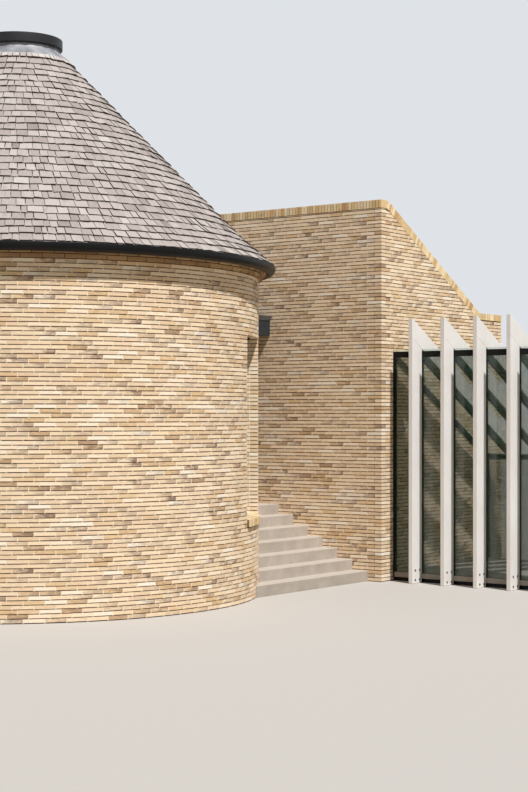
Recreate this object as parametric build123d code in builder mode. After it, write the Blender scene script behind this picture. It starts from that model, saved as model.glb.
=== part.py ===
from build123d import *

import os
from math import asin, atan, cos, degrees, pi, radians, sin, tan

# A brick pool house: a round room under a conical shingled roof, a block with a sloping parapet,
# the steps and porch between them, and a lean-to glazed link on the block's right side.
# Millimetres. The origin is the axis of the round room at ground level, +Z is up,
# +X runs along the block's front wall towards the link and +Y runs from front to back.

os.makedirs("parts", exist_ok=True)

# Brickwork, in long thin bricks
brick_length = 228
brick_depth = 108
joint = 10
course = 50
seat_gap = 0.3
cut_margin = 1

# Floors and steps
riser = 145
going = 252
step_count = 7
first_step = 224
nosing_edge = 6

# Round room: its wall has as many bricks in a course as its roof and gutter have flat lengths
drum_radius = 3040
drum_course_count = 80
drum_brick_count = 80
drum_wall_names = ["drum_wall_back", "drum_wall_left", "drum_wall_front", "drum_wall_right"]

# Slot window in the round wall, as polar angles from +X towards +Y
window_start = 19.5
window_end = 40.0
window_height = 2245
sill_height = 106
sill_slope = 14
sill_projection = 22
reveal_depth = 190
window_frame_depth = 70
window_frame_bar = 45
pane_thickness = 24

# Doorways without leaves, from the porch into each room
doorway_width = 900
doorway_height = 2100

# Two corbel courses, gutter and conical roof, with heights above the round wall's top
corbel_step = 50
corbel_course_count = 2
gutter_width = 115
gutter_base = 58
gutter_height = 107
gutter_bend = 46
gutter_bend_count = 2
gutter_sheet = 5
eaves_overhang = 200
eaves_height = 182
eaves_butt = 14
sprocket_run = 415
sprocket_angle = 41.0
roof_angle = 45.5
roof_depth = 290

# Rooflight on the cone
roof_top_radius = 650
rooflight_bore = 450
apron_edge = 16
apron_skirt_height = 100
apron_shoulder_radius = 531
apron_upstand = 55
apron_top_radius = 512
curb_radius = 534
curb_height = 133
curb_edge = 8
curb_glass_drop = 22

# Block, behind and to the right of the round room
porch_gap = 966
block_right_inset = 143
block_length = 7130
block_depth = 3430
front_height = 5236
back_height = 3815
front_level_run = 175
back_level_run = 680
coping_height = 92
roof_upstand = 140
block_roof_depth = 250

# Porch between the two
porch_reach = 1000
porch_clear_height = 2407
porch_roof_height = 284
porch_lip_height = 64
porch_lip_reach = 48

# Glazed link
blade_thickness = 60
blade_depth = 250
blade_setback = 50
blade_top = 3596
blade_rafter_height = 272
first_blade = 433
blade_spacing = 496
blade_count = 6
link_back_inset = 430
blade_tail = 60
frame_bar = 50
frame_depth = 60
head_height = 82
sill_bar_bottom = 50
sill_bar_top = 120
plinth_setback = 25
roof_glass_height = 28
roof_bar_height = 130
glass_joint = 12

# Worked out from the sizes above
wall_thickness = brick_length + joint + brick_depth
floor_level = riser * step_count
doorway_head = floor_level + doorway_height
drum_inner = drum_radius - wall_thickness
drum_wall_top = drum_course_count * course
door_half_angle = degrees(asin(doorway_width / 2 / drum_inner))
door_start = 90 - door_half_angle
door_end = 90 + door_half_angle
sill_base = floor_level + joint / 2 - sill_height
window_head = floor_level + window_height
reveal_back = drum_radius - reveal_depth
corbel_radius = drum_radius + corbel_step * corbel_course_count
corbel_top = drum_wall_top + course * corbel_course_count
block_front = drum_radius + porch_gap
block_back = block_front + block_depth
block_right = drum_radius - block_right_inset
block_left = block_right - block_length
rake_head = block_front + front_level_run
rake_foot = block_back - back_level_run
rake_slope = (front_height - back_height) / (rake_foot - rake_head)
top_riser = block_right - first_step - going * (step_count - 1)
link_front = block_front + blade_setback + blade_depth
link_back = block_back - link_back_inset
blade_positions = [block_right + first_blade + blade_spacing * i for i in range(blade_count)]
bar_positions = [block_right + frame_bar / 2] + blade_positions
link_end = bar_positions[-1] + frame_bar / 2


def radial_plane(angle):
    """A standing plane through the drum's axis: local x runs outwards and local y runs up."""
    a = radians(angle)
    return Plane(origin=(0, 0, 0), x_dir=(cos(a), sin(a), 0), z_dir=(sin(a), -cos(a), 0))


def ring_sector(start, end, inner, outer, bottom, top):
    """A plain length of round wall between two polar angles."""
    with BuildPart() as sector:
        with BuildSketch(radial_plane(start)):
            with Locations(((inner + outer) / 2, (bottom + top) / 2)):
                Rectangle(outer - inner, top - bottom)
        revolve(axis=Axis.Z, revolution_arc=end - start)
    return sector.part


def flat_sided_stage(bottom_radius, top_radius, bottom, top):
    """One stage of the eaves or roof: it tapers upwards in as many flats as there are bricks round."""
    height = top - bottom
    lean = (bottom_radius - top_radius) * cos(pi / drum_brick_count) / height
    with BuildPart() as stage:
        with BuildSketch(Plane.XY.offset(bottom)):
            RegularPolygon(bottom_radius, drum_brick_count)
        extrude(amount=height, taper=degrees(atan(lean)))
    return stage.part


# Round wall: plain segments, and shorter ones round the slot window and the doorway
segment_sweep = (360 + window_start - door_end) / len(drum_wall_names)
for i, name in enumerate(drum_wall_names):
    start = door_end + i * segment_sweep
    with BuildPart() as drum_wall:
        add(ring_sector(start, start + segment_sweep, drum_inner, drum_radius, 0, drum_wall_top))
    drum_wall.part.label = name
    export_step(drum_wall.part, "parts/" + name + ".step")

with BuildPart() as drum_wall_beside_steps:
    add(ring_sector(window_end, door_start, drum_inner, drum_radius, 0, drum_wall_top))
drum_wall_beside_steps.part.label = "drum_wall_beside_steps"
export_step(drum_wall_beside_steps.part, "parts/drum_wall_beside_steps.step")

with BuildPart() as drum_wall_under_window:
    add(ring_sector(window_start, window_end, drum_inner, drum_radius, 0, sill_base))
    add(ring_sector(window_start, window_end, drum_inner, reveal_back, sill_base, floor_level))
drum_wall_under_window.part.label = "drum_wall_under_window"
export_step(drum_wall_under_window.part, "parts/drum_wall_under_window.step")

with BuildPart() as drum_wall_over_window:
    add(ring_sector(window_start, window_end, drum_inner, drum_radius, window_head, drum_wall_top))
drum_wall_over_window.part.label = "drum_wall_over_window"
export_step(drum_wall_over_window.part, "parts/drum_wall_over_window.step")

with BuildPart() as drum_wall_over_door:
    add(ring_sector(door_start, door_end, drum_inner, drum_radius, doorway_head, drum_wall_top))
drum_wall_over_door.part.label = "drum_wall_over_door"
export_step(drum_wall_over_door.part, "parts/drum_wall_over_door.step")

# Solid raised floor of the round room
with BuildPart() as drum_floor:
    with BuildSketch():
        Circle(drum_inner - seat_gap)
    extrude(amount=floor_level)
drum_floor.part.label = "drum_floor"
export_step(drum_floor.part, "parts/drum_floor.step")

# Sloping sill of bricks on edge, standing a little proud of the wall
with BuildPart() as window_sill:
    sill_front = drum_radius + sill_projection
    sill_back = reveal_back + seat_gap
    with BuildSketch(radial_plane(window_start)):
        with BuildLine():
            Polyline(
                (sill_back, sill_base),
                (sill_front, sill_base),
                (sill_front, sill_base + sill_height - sill_slope),
                (sill_back, sill_base + sill_height),
                close=True,
            )
        make_face()
    revolve(axis=Axis.Z, revolution_arc=window_end - window_start)
window_sill.part.label = "window_sill"
export_step(window_sill.part, "parts/window_sill.step")

# Curved window frame at the back of the brick reveal, with one curved pane
frame_inner = reveal_back - window_frame_depth
bar_angle = degrees(window_frame_bar / reveal_back)
pane_start = window_start + bar_angle
pane_end = window_end - bar_angle
pane_bottom = floor_level + window_frame_bar
pane_top = window_head - window_frame_bar
pane_inner = (reveal_back + frame_inner - pane_thickness) / 2
with BuildPart() as window_frame:
    add(ring_sector(window_start, window_end, frame_inner, reveal_back, floor_level, window_head))
    cut_inner = frame_inner - cut_margin
    cut_outer = reveal_back + cut_margin
    add(ring_sector(pane_start, pane_end, cut_inner, cut_outer, pane_bottom, pane_top), mode=Mode.SUBTRACT)
window_frame.part.label = "window_frame"
export_step(window_frame.part, "parts/window_frame.step")

with BuildPart() as window_glass:
    pane_outer = pane_inner + pane_thickness
    add(ring_sector(pane_start, pane_end, pane_inner, pane_outer, pane_bottom, pane_top))
window_glass.part.label = "window_glass"
export_step(window_glass.part, "parts/window_glass.step")

# Corbel that carries the roof and the gutter: each course steps out, with one flat face to a brick
with BuildPart() as drum_corbel:
    for i in range(corbel_course_count):
        with BuildSketch(Plane.XY.offset(drum_wall_top + course * i)):
            RegularPolygon(drum_radius + corbel_step * (i + 1), drum_brick_count)
            Circle(drum_inner, mode=Mode.SUBTRACT)
        extrude(amount=course)
drum_corbel.part.label = "drum_corbel"
export_step(drum_corbel.part, "parts/drum_corbel.step")

# Open sheet-metal gutter, hung on the corbel's upper course, with its lower edge bent round
gutter_bottom = drum_wall_top + gutter_base
gutter_rim = gutter_bottom + gutter_height
gutter_lip = corbel_radius + gutter_width
channel_back = corbel_radius + gutter_sheet


def bent_drum(lip_radius, bottom, bend):
    """A flat-sided drum up to the gutter's rim, with its lower edge bent round in short splays."""
    bend_angles = [pi / 2 * i / gutter_bend_count for i in range(gutter_bend_count + 1)]
    with BuildPart() as drum:
        for low, high in zip(bend_angles, bend_angles[1:]):
            low_radius = lip_radius - bend * (1 - sin(low))
            high_radius = lip_radius - bend * (1 - sin(high))
            low_level = bottom + bend * (1 - cos(low))
            high_level = bottom + bend * (1 - cos(high))
            splay = flat_sided_stage(high_radius, low_radius, -high_level, -low_level)
            add(mirror(splay, about=Plane.XY, mode=Mode.PRIVATE))
        add(flat_sided_stage(lip_radius, lip_radius, bottom + bend, gutter_rim))
    return drum.part


with BuildPart() as gutter_channel:
    channel_bottom = gutter_bottom + gutter_sheet
    add(bent_drum(gutter_lip - gutter_sheet, channel_bottom, gutter_bend - gutter_sheet))
    add(flat_sided_stage(channel_back, channel_back, channel_bottom, gutter_rim), mode=Mode.SUBTRACT)

with BuildPart() as drum_gutter:
    add(bent_drum(gutter_lip, gutter_bottom, gutter_bend))
    add(gutter_channel.part, mode=Mode.SUBTRACT)
    add(flat_sided_stage(corbel_radius, corbel_radius, gutter_bottom, gutter_rim), mode=Mode.SUBTRACT)
drum_gutter.part.label = "drum_gutter"
export_step(drum_gutter.part, "parts/drum_gutter.step")

# Conical roof: a shell as deep as its rafters, with a flatter sprocket above the gutter
roof_rise = tan(radians(roof_angle))
eaves_radius = drum_radius + eaves_overhang
eaves_top = drum_wall_top + eaves_height
eaves_underside = eaves_top - eaves_butt
sprocket_radius = eaves_radius - sprocket_run
sprocket_top = eaves_top + sprocket_run * tan(radians(sprocket_angle))
roof_top = sprocket_top + (sprocket_radius - roof_top_radius) * roof_rise
slope_foot = sprocket_radius + (sprocket_top - corbel_top) / roof_rise
rafter_foot = slope_foot - roof_depth / sin(radians(roof_angle))
underside_at_bore = corbel_top + (rafter_foot - rooflight_bore) * roof_rise
with BuildPart() as drum_roof:
    add(flat_sided_stage(corbel_radius, corbel_radius, corbel_top, eaves_underside))
    add(flat_sided_stage(eaves_radius, eaves_radius, eaves_underside, eaves_top))
    add(flat_sided_stage(eaves_radius, sprocket_radius, eaves_top, sprocket_top))
    add(flat_sided_stage(sprocket_radius, roof_top_radius, sprocket_top, roof_top))
    add(flat_sided_stage(rafter_foot, rooflight_bore, corbel_top, underside_at_bore), mode=Mode.SUBTRACT)
    add(flat_sided_stage(rooflight_bore, rooflight_bore, underside_at_bore, roof_top), mode=Mode.SUBTRACT)
drum_roof.part.label = "drum_roof"
export_step(drum_roof.part, "parts/drum_roof.step")

# Lead apron, dressed over the top shingles and turned up under the rooflight curb
apron_lap = roof_top + apron_edge
apron_shoulder = apron_lap + apron_skirt_height
curb_base = apron_shoulder + apron_upstand
with BuildPart() as rooflight_apron:
    with BuildSketch(Plane.XZ):
        with BuildLine():
            Polyline(
                (rooflight_bore, roof_top),
                (roof_top_radius, roof_top),
                (roof_top_radius, apron_lap),
                (apron_shoulder_radius, apron_shoulder),
                (apron_top_radius, curb_base),
                (rooflight_bore, curb_base),
                close=True,
            )
        make_face()
    revolve(axis=Axis.Z)
rooflight_apron.part.label = "rooflight_apron"
export_step(rooflight_apron.part, "parts/rooflight_apron.step")

# Rooflight curb, with a ledge for its glass
curb_top = curb_base + curb_height
ledge_radius = (curb_radius + rooflight_bore) / 2
ledge_top = curb_top - curb_glass_drop - pane_thickness
with BuildPart() as rooflight_curb:
    with BuildSketch(Plane.XZ):
        with BuildLine():
            Polyline(
                (rooflight_bore, curb_base),
                (curb_radius, curb_base),
                (curb_radius, curb_top - curb_edge),
                (curb_radius - curb_edge, curb_top),
                (ledge_radius, curb_top),
                (ledge_radius, ledge_top),
                (rooflight_bore, ledge_top),
                close=True,
            )
        make_face()
    revolve(axis=Axis.Z)
rooflight_curb.part.label = "rooflight_curb"
export_step(rooflight_curb.part, "parts/rooflight_curb.step")

with BuildPart() as rooflight_glass:
    with BuildSketch(Plane.XY.offset(ledge_top)):
        Circle(ledge_radius - seat_gap)
    extrude(amount=pane_thickness)
rooflight_glass.part.label = "rooflight_glass"
export_step(rooflight_glass.part, "parts/rooflight_glass.step")


def parapet_line(drop):
    """The block's top line, front to back, at a square distance below the coping's top."""
    shift = drop * tan(atan(rake_slope) / 2)
    return [
        (block_front, front_height - drop),
        (rake_head - shift, front_height - drop),
        (rake_foot - shift, back_height - drop),
        (block_back, back_height - drop),
    ]


def block_slice(outline, front, back, left, right, bottom=0):
    """A side outline of the block, cut to a range of depth and height, and run from left to right."""
    with BuildPart() as piece:
        with BuildSketch(Plane.YZ.offset(left)):
            with BuildLine():
                Polyline(*outline, close=True)
            make_face()
            with Locations(((front + back) / 2, (bottom + front_height) / 2)):
                Rectangle(back - front, front_height - bottom, mode=Mode.INTERSECT)
        extrude(amount=right - left)
    return piece.part


wall_outline = [(block_front, 0)] + parapet_line(coping_height) + [(block_back, 0)]
coping_outline = parapet_line(0) + parapet_line(coping_height)[::-1]
roof_drop = coping_height + roof_upstand
roof_outline = parapet_line(roof_drop) + parapet_line(roof_drop + block_roof_depth)[::-1]
room_front = block_front + wall_thickness
room_back = block_back - wall_thickness
room_left = block_left + wall_thickness
room_right = block_right - wall_thickness
door_left = -doorway_width / 2
door_right = doorway_width / 2

# Block walls: the front one is split beside and over its doorway
with BuildPart() as block_front_wall_left:
    add(block_slice(wall_outline, block_front, room_front, block_left, door_left))
block_front_wall_left.part.label = "block_front_wall_left"
export_step(block_front_wall_left.part, "parts/block_front_wall_left.step")

with BuildPart() as block_front_wall_right:
    add(block_slice(wall_outline, block_front, room_front, door_right, block_right))
block_front_wall_right.part.label = "block_front_wall_right"
export_step(block_front_wall_right.part, "parts/block_front_wall_right.step")

with BuildPart() as block_front_wall_over_door:
    add(block_slice(wall_outline, block_front, room_front, door_left, door_right, doorway_head))
block_front_wall_over_door.part.label = "block_front_wall_over_door"
export_step(block_front_wall_over_door.part, "parts/block_front_wall_over_door.step")

with BuildPart() as block_right_wall:
    add(block_slice(wall_outline, room_front, room_back, room_right, block_right))
block_right_wall.part.label = "block_right_wall"
export_step(block_right_wall.part, "parts/block_right_wall.step")

with BuildPart() as block_left_wall:
    add(block_slice(wall_outline, room_front, room_back, block_left, room_left))
block_left_wall.part.label = "block_left_wall"
export_step(block_left_wall.part, "parts/block_left_wall.step")

with BuildPart() as block_back_wall:
    add(block_slice(wall_outline, room_back, block_back, block_left, block_right))
block_back_wall.part.label = "block_back_wall"
export_step(block_back_wall.part, "parts/block_back_wall.step")

# Solid raised floor, and the single-pitch roof sunk behind the parapets
with BuildPart() as block_floor:
    with BuildSketch():
        with Locations(((room_left + room_right) / 2, (room_front + room_back) / 2)):
            Rectangle(room_right - room_left, room_back - room_front)
    extrude(amount=floor_level)
block_floor.part.label = "block_floor"
export_step(block_floor.part, "parts/block_floor.step")

with BuildPart() as block_roof:
    add(block_slice(roof_outline, room_front, room_back, room_left, room_right))
block_roof.part.label = "block_roof"
export_step(block_roof.part, "parts/block_roof.step")

# Copings of bricks on edge: over the front wall, down both rakes, and along the back
with BuildPart() as front_coping:
    add(block_slice(coping_outline, block_front, room_front, block_left, block_right))
front_coping.part.label = "front_coping"
export_step(front_coping.part, "parts/front_coping.step")

with BuildPart() as rake_copings:
    add(block_slice(coping_outline, room_front, room_back, room_right, block_right))
    add(block_slice(coping_outline, room_front, room_back, block_left, room_left))
rake_copings.part.label = "rake_copings"
export_step(rake_copings.part, "parts/rake_copings.step")

with BuildPart() as back_coping:
    add(block_slice(coping_outline, room_back, block_back, block_left, block_right))
back_coping.part.label = "back_coping"
export_step(back_coping.part, "parts/back_coping.step")

# Steps: each one is a cast block that ends on the round wall and against the block
for i in range(step_count - 1):
    step_name = "step_" + str(i + 1)
    step_face = block_right - first_step - going * i
    with BuildPart() as step:
        with BuildSketch():
            with Locations((step_face - going / 2, block_front / 2)):
                Rectangle(going, block_front)
            Circle(drum_radius + seat_gap, mode=Mode.SUBTRACT)
        extrude(amount=riser * (i + 1))
        nosing = step.edges().filter_by(Axis.Y).group_by(Axis.Z)[-1].sort_by(Axis.X)[-1]
        chamfer(nosing, nosing_edge)
    step.part.label = step_name
    export_step(step.part, "parts/" + step_name + ".step")

# Landing, with a threshold through each doorway
porch_wall_face = brick_length - porch_reach
with BuildPart() as landing:
    with BuildSketch():
        with Locations(((porch_wall_face + top_riser) / 2, block_front / 2)):
            Rectangle(top_riser - porch_wall_face, block_front)
        Circle(drum_radius + seat_gap, mode=Mode.SUBTRACT)
        with Locations((0, (block_front + room_front) / 2)):
            Rectangle(doorway_width, wall_thickness)
    extrude(amount=floor_level)
    nosing = landing.edges().filter_by(Axis.Y).group_by(Axis.Z)[-1].sort_by(Axis.X)[-1]
    chamfer(nosing, nosing_edge)
    add(ring_sector(door_start, door_end, drum_inner, drum_radius + joint, 0, floor_level))
landing.part.label = "landing"
export_step(landing.part, "parts/landing.step")

# Porch: a one-brick wall closes its far end, and a flat metal roof with a splayed lip covers it
porch_underside = floor_level + porch_clear_height
with BuildPart() as porch_end_wall:
    with BuildSketch():
        with Locations(((porch_wall_face - porch_reach) / 2, block_front / 2)):
            Rectangle(brick_length, block_front)
        Circle(drum_radius + seat_gap, mode=Mode.SUBTRACT)
    extrude(amount=porch_underside)
porch_end_wall.part.label = "porch_end_wall"
export_step(porch_end_wall.part, "parts/porch_end_wall.step")

with BuildPart() as porch_roof:
    porch_roof_top = porch_underside + porch_roof_height
    lip_base = porch_roof_top - porch_lip_height
    lip_end = porch_reach + porch_lip_reach
    with BuildSketch(Plane.XZ.offset(-block_front)):
        with BuildLine():
            Polyline(
                (-porch_reach, porch_underside),
                (porch_reach, porch_underside),
                (porch_reach, lip_base),
                (lip_end, porch_roof_top),
                (-lip_end, porch_roof_top),
                (-porch_reach, lip_base),
                close=True,
            )
        make_face()
    extrude(amount=block_front)
    with BuildSketch(Plane.XY.offset(porch_underside)):
        Circle(drum_radius + seat_gap)
    extrude(amount=porch_roof_height, mode=Mode.SUBTRACT)
porch_roof.part.label = "porch_roof"
export_step(porch_roof.part, "parts/porch_roof.step")


def blade_line(y):
    """Height of the blades' sloping top at a distance back."""
    return blade_top - (y - block_front - blade_setback) * rake_slope


def sloping_outline(front, back, drop, height):
    """A side outline that follows the blades' slope, with upright ends."""
    return [
        (front, blade_line(front) - drop - height),
        (front, blade_line(front) - drop),
        (back, blade_line(back) - drop),
        (back, blade_line(back) - drop - height),
    ]


def standing_outline(front, back, bottom, drop):
    """A side outline that stands on a level and is cut to the blades' slope on top."""
    return [
        (front, bottom),
        (front, blade_line(front) - drop),
        (back, blade_line(back) - drop),
        (back, bottom),
    ]


def upright_bar(outline, middle, width):
    """A side outline given its thickness, half to each side of a middle line."""
    with BuildPart() as bar:
        with BuildSketch(Plane.YZ.offset(middle - width / 2)):
            with BuildLine():
                Polyline(*outline, close=True)
            make_face()
        extrude(amount=width)
    return bar.part


# Timber blades of the link: each post is cut to the slope, and its rafter lies on that cut
blade_front = block_front + blade_setback
with BuildPart() as link_posts:
    post = standing_outline(blade_front, link_front, 0, blade_rafter_height)
    for middle in blade_positions:
        add(upright_bar(post, middle, blade_thickness))
link_posts.part.label = "link_posts"
export_step(link_posts.part, "parts/link_posts.step")

with BuildPart() as link_rafters:
    rafter = sloping_outline(blade_front, link_back + blade_tail, 0, blade_rafter_height)
    for middle in blade_positions:
        add(upright_bar(rafter, middle, blade_thickness))
link_rafters.part.label = "link_rafters"
export_step(link_rafters.part, "parts/link_rafters.step")

# Roof glass under the rafters, one sheet a bay, and the metal bars that carry it
bar_drop = blade_rafter_height + roof_glass_height
with BuildPart() as link_roof_glass:
    sheet = sloping_outline(link_front, link_back, blade_rafter_height, roof_glass_height)
    for left, right in zip(bar_positions, bar_positions[1:]):
        sheet_left = block_right if left == bar_positions[0] else left + glass_joint / 2
        sheet_right = right - glass_joint / 2
        add(upright_bar(sheet, (sheet_left + sheet_right) / 2, sheet_right - sheet_left))
link_roof_glass.part.label = "link_roof_glass"
export_step(link_roof_glass.part, "parts/link_roof_glass.step")

with BuildPart() as link_roof_bars:
    roof_bar = sloping_outline(link_front + frame_depth, link_back - frame_depth, bar_drop, roof_bar_height)
    for middle in bar_positions:
        add(upright_bar(roof_bar, middle, frame_bar))
link_roof_bars.part.label = "link_roof_bars"
export_step(link_roof_bars.part, "parts/link_roof_bars.step")


def head_underside(front):
    """Height of the glazing's top edge in a screen."""
    return blade_line(front) - bar_drop - head_height


def screen(front, back):
    """One upright glazed screen's frame: a bar at each blade, a head cut to the slope, and a sill."""
    length = link_end - block_right
    middle = (link_end + block_right) / 2
    with BuildPart() as frame:
        for bar in bar_positions:
            add(upright_bar(standing_outline(front, back, sill_bar_bottom, bar_drop), bar, frame_bar))
        add(upright_bar(standing_outline(front, back, head_underside(front), bar_drop), middle, length))
        with BuildSketch(Plane.XY.offset(sill_bar_bottom)):
            with Locations((middle, (front + back) / 2)):
                Rectangle(length, back - front)
        extrude(amount=sill_bar_top - sill_bar_bottom)
    return frame.part


with BuildPart() as link_front_frame:
    add(screen(link_front, link_front + frame_depth))
link_front_frame.part.label = "link_front_frame"
export_step(link_front_frame.part, "parts/link_front_frame.step")

with BuildPart() as link_back_frame:
    add(screen(link_back - frame_depth, link_back))
link_back_frame.part.label = "link_back_frame"
export_step(link_back_frame.part, "parts/link_back_frame.step")

with BuildPart() as link_wall_glass:
    for front in (link_front, link_back - frame_depth):
        for left, right in zip(bar_positions, bar_positions[1:]):
            with BuildSketch(Plane.XY.offset(sill_bar_top)):
                with Locations(((left + right) / 2, front + frame_depth / 2)):
                    Rectangle(right - left - frame_bar, pane_thickness)
            extrude(amount=head_underside(front) - sill_bar_top)
link_wall_glass.part.label = "link_wall_glass"
export_step(link_wall_glass.part, "parts/link_wall_glass.step")

# Floor slab of the link, with a set-back toe under each screen
with BuildPart() as link_floor:
    slab_front = link_front + frame_depth
    slab_back = link_back - frame_depth
    with BuildSketch(Plane.YZ.offset(block_right)):
        with BuildLine():
            Polyline(
                (link_front + plinth_setback, 0),
                (link_front + plinth_setback, sill_bar_bottom),
                (slab_front, sill_bar_bottom),
                (slab_front, sill_bar_top),
                (slab_back, sill_bar_top),
                (slab_back, sill_bar_bottom),
                (link_back - plinth_setback, sill_bar_bottom),
                (link_back - plinth_setback, 0),
                close=True,
            )
        make_face()
    extrude(amount=link_end - block_right)
link_floor.part.label = "link_floor"
export_step(link_floor.part, "parts/link_floor.step")
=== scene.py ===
from math import atan, atan2, cos, degrees, hypot, pi, radians, sin, tan

import bpy
import numpy as np
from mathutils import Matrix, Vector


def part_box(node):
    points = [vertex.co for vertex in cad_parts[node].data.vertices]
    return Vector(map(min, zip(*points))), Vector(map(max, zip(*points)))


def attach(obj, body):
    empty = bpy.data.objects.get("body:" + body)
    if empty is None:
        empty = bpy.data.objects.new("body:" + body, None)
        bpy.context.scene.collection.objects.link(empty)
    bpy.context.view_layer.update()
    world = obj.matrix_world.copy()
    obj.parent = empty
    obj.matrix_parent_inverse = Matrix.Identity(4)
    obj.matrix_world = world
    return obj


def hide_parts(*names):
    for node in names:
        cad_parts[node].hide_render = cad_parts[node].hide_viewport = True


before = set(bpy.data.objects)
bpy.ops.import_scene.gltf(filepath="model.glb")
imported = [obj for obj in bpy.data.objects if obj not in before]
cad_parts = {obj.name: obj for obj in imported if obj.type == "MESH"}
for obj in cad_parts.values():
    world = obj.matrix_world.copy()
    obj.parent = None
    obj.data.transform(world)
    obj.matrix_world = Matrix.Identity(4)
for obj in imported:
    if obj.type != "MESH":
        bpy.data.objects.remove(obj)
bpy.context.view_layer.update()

# A brick pool house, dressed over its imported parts. Metres throughout; Z is up and the origin is
# the round room's axis at ground level. Sizes come from the parts' own boxes where they can.

BODY = "root"

# Brickwork: long thin bricks with raked bed joints and flush upright joints
BRICK_LENGTH = 0.228
BRICK_DEPTH = 0.108
JOINT = 0.010
COURSE = 0.050
PITCH = BRICK_LENGTH + JOINT
BOND_STEPS = (0.0, 0.25, 0.75, 0.5)
SMALLEST_CUT = 0.055
# Coping bricks are 110 mm high, so on the front and rakes they reach below the wall's plain top
COPING_SINK = 0.018
LEVEL_BED = -0.005
RAKE_DEPTH = 0.011
FLUSH_DEPTH = 0.002
FACE_WANDER = 0.0016
BEDDING_WANDER = 0.0012
LINING_DEPTH = 0.190
# Each brick's tone from 0 to 1, and the shares that smoke has marked, lightly or heavily
USUAL_TONE, TONE_SPREAD = 0.60, 0.19
SMOKED_SHARE, HEAVY_SHARE = 0.38, 0.07
LIGHT_SMOKE, HEAVY_SMOKE = (0.15, 0.6), 0.35
# A point this near to a plane of the plain parts belongs to it
NEAR = 0.001
# Points this close are one point, and a shift under a hair is none
WELD, HAIR = 0.0001, 0.00001
SEED = 7

# The round room, read from its parts
ROUND_BRICKS = 80
DRUM_LOW, DRUM_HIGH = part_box("drum_wall_front")
DRUM_RADIUS, DRUM_TOP = -DRUM_LOW.y, DRUM_HIGH.z
CORBEL_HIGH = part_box("drum_corbel")[1]
CORBEL_RADIUS, CORBEL_TOP = CORBEL_HIGH.x, CORBEL_HIGH.z
FLOOR_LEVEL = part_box("drum_floor")[1].z
WINDOW_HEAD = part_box("window_frame")[1].z
SILL_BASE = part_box("window_sill")[0].z

# The block, read from its parts
FRONT_LOW, FRONT_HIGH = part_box("block_front_wall_right")
BACK_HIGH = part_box("block_back_wall")[1]
DOORWAY_WIDTH = FRONT_LOW.x * 2
DOORWAY_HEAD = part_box("block_front_wall_over_door")[0].z
BLOCK_FRONT, BLOCK_BACK = FRONT_LOW.y, BACK_HIGH.y
BLOCK_LEFT, BLOCK_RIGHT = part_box("block_front_wall_left")[0].x, FRONT_HIGH.x
WALL_THICKNESS = FRONT_HIGH.y - BLOCK_FRONT
BACK_WALL_TOP, FRONT_WALL_TOP = BACK_HIGH.z, FRONT_HIGH.z
COPING_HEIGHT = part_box("back_coping")[1].z - BACK_WALL_TOP
FRONT_LEVEL_RUN = 0.175
BACK_LEVEL_RUN = 0.680
RAKE_RUN = BLOCK_BACK - BACK_LEVEL_RUN - BLOCK_FRONT - FRONT_LEVEL_RUN
RAKE_SLOPE = (FRONT_WALL_TOP - BACK_WALL_TOP) / RAKE_RUN
RAKE_ANGLE = atan(RAKE_SLOPE)
# The wall's top breaks a little before the coping's, so that both lie on the mitre
MITRE = COPING_HEIGHT * tan(RAKE_ANGLE / 2)
RAKE_HEAD = BLOCK_FRONT + FRONT_LEVEL_RUN - MITRE
RAKE_FOOT = BLOCK_BACK - BACK_LEVEL_RUN - MITRE


def linear(hex_colour):
    """Turns an sRGB hex colour into the linear numbers that the shaders take."""
    parts = [int(hex_colour[i:i + 2], 16) / 255 for i in (1, 3, 5)]
    return [p / 12.92 if p <= 0.04045 else ((p + 0.055) / 1.055) ** 2.4 for p in parts] + [1.0]


def add_node(tree, kind, inputs=None, stops=None, **settings):
    """Adds a shader node. Settings are its options; inputs are values, sockets, or other nodes, which
    stand for their first output in use."""
    made = tree.nodes.new("ShaderNode" + kind)
    for name, value in settings.items():
        setattr(made, name, value)
    for socket, value in (inputs or {}).items():
        if isinstance(value, bpy.types.Node):
            value = next(output for output in value.outputs if output.enabled)
        if isinstance(value, bpy.types.NodeSocket):
            tree.links.new(value, made.inputs[socket])
        else:
            made.inputs[socket].default_value = value
    if stops:
        ramp = made.color_ramp.elements
        while len(ramp) < len(stops):
            ramp.new(0.5)
        for element, (position, colour) in zip(ramp, stops):
            element.position = position
            element.color = linear(colour)
    return made


def new_material(name, **shader):
    """A material, its nodes and its Object coordinates; shader values go on the shader's sockets."""
    material = bpy.data.materials.new(name)
    material.use_nodes = True
    tree = material.node_tree
    for socket, value in shader.items():
        tree.nodes["Principled BSDF"].inputs[socket.replace("_", " ")].default_value = value
    return material, tree, add_node(tree, "TexCoord").outputs["Object"]


def surfaced(material, colour, height, depth):
    """Ends a material: its colour, and a relief with a depth in metres, go to the shader."""
    tree = material.node_tree
    sockets = tree.nodes["Principled BSDF"].inputs
    relief = add_node(tree, "Bump", {"Height": height, "Distance": depth})
    tree.links.new(next(output for output in colour.outputs if output.enabled), sockets["Base Color"])
    tree.links.new(relief.outputs["Normal"], sockets["Normal"])
    return material


def grain(tree, place, per_metre, detail, roughness=0.5):
    """A noise with so many grains to the metre, the same every way or a number for each axis."""
    scaled = add_node(tree, "Mapping", {"Vector": place, "Scale": np.broadcast_to(per_metre, 3)})
    return add_node(tree, "TexNoise", {"Vector": scaled, "Scale": 1.0, "Detail": detail,
                                       "Roughness": roughness})


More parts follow.
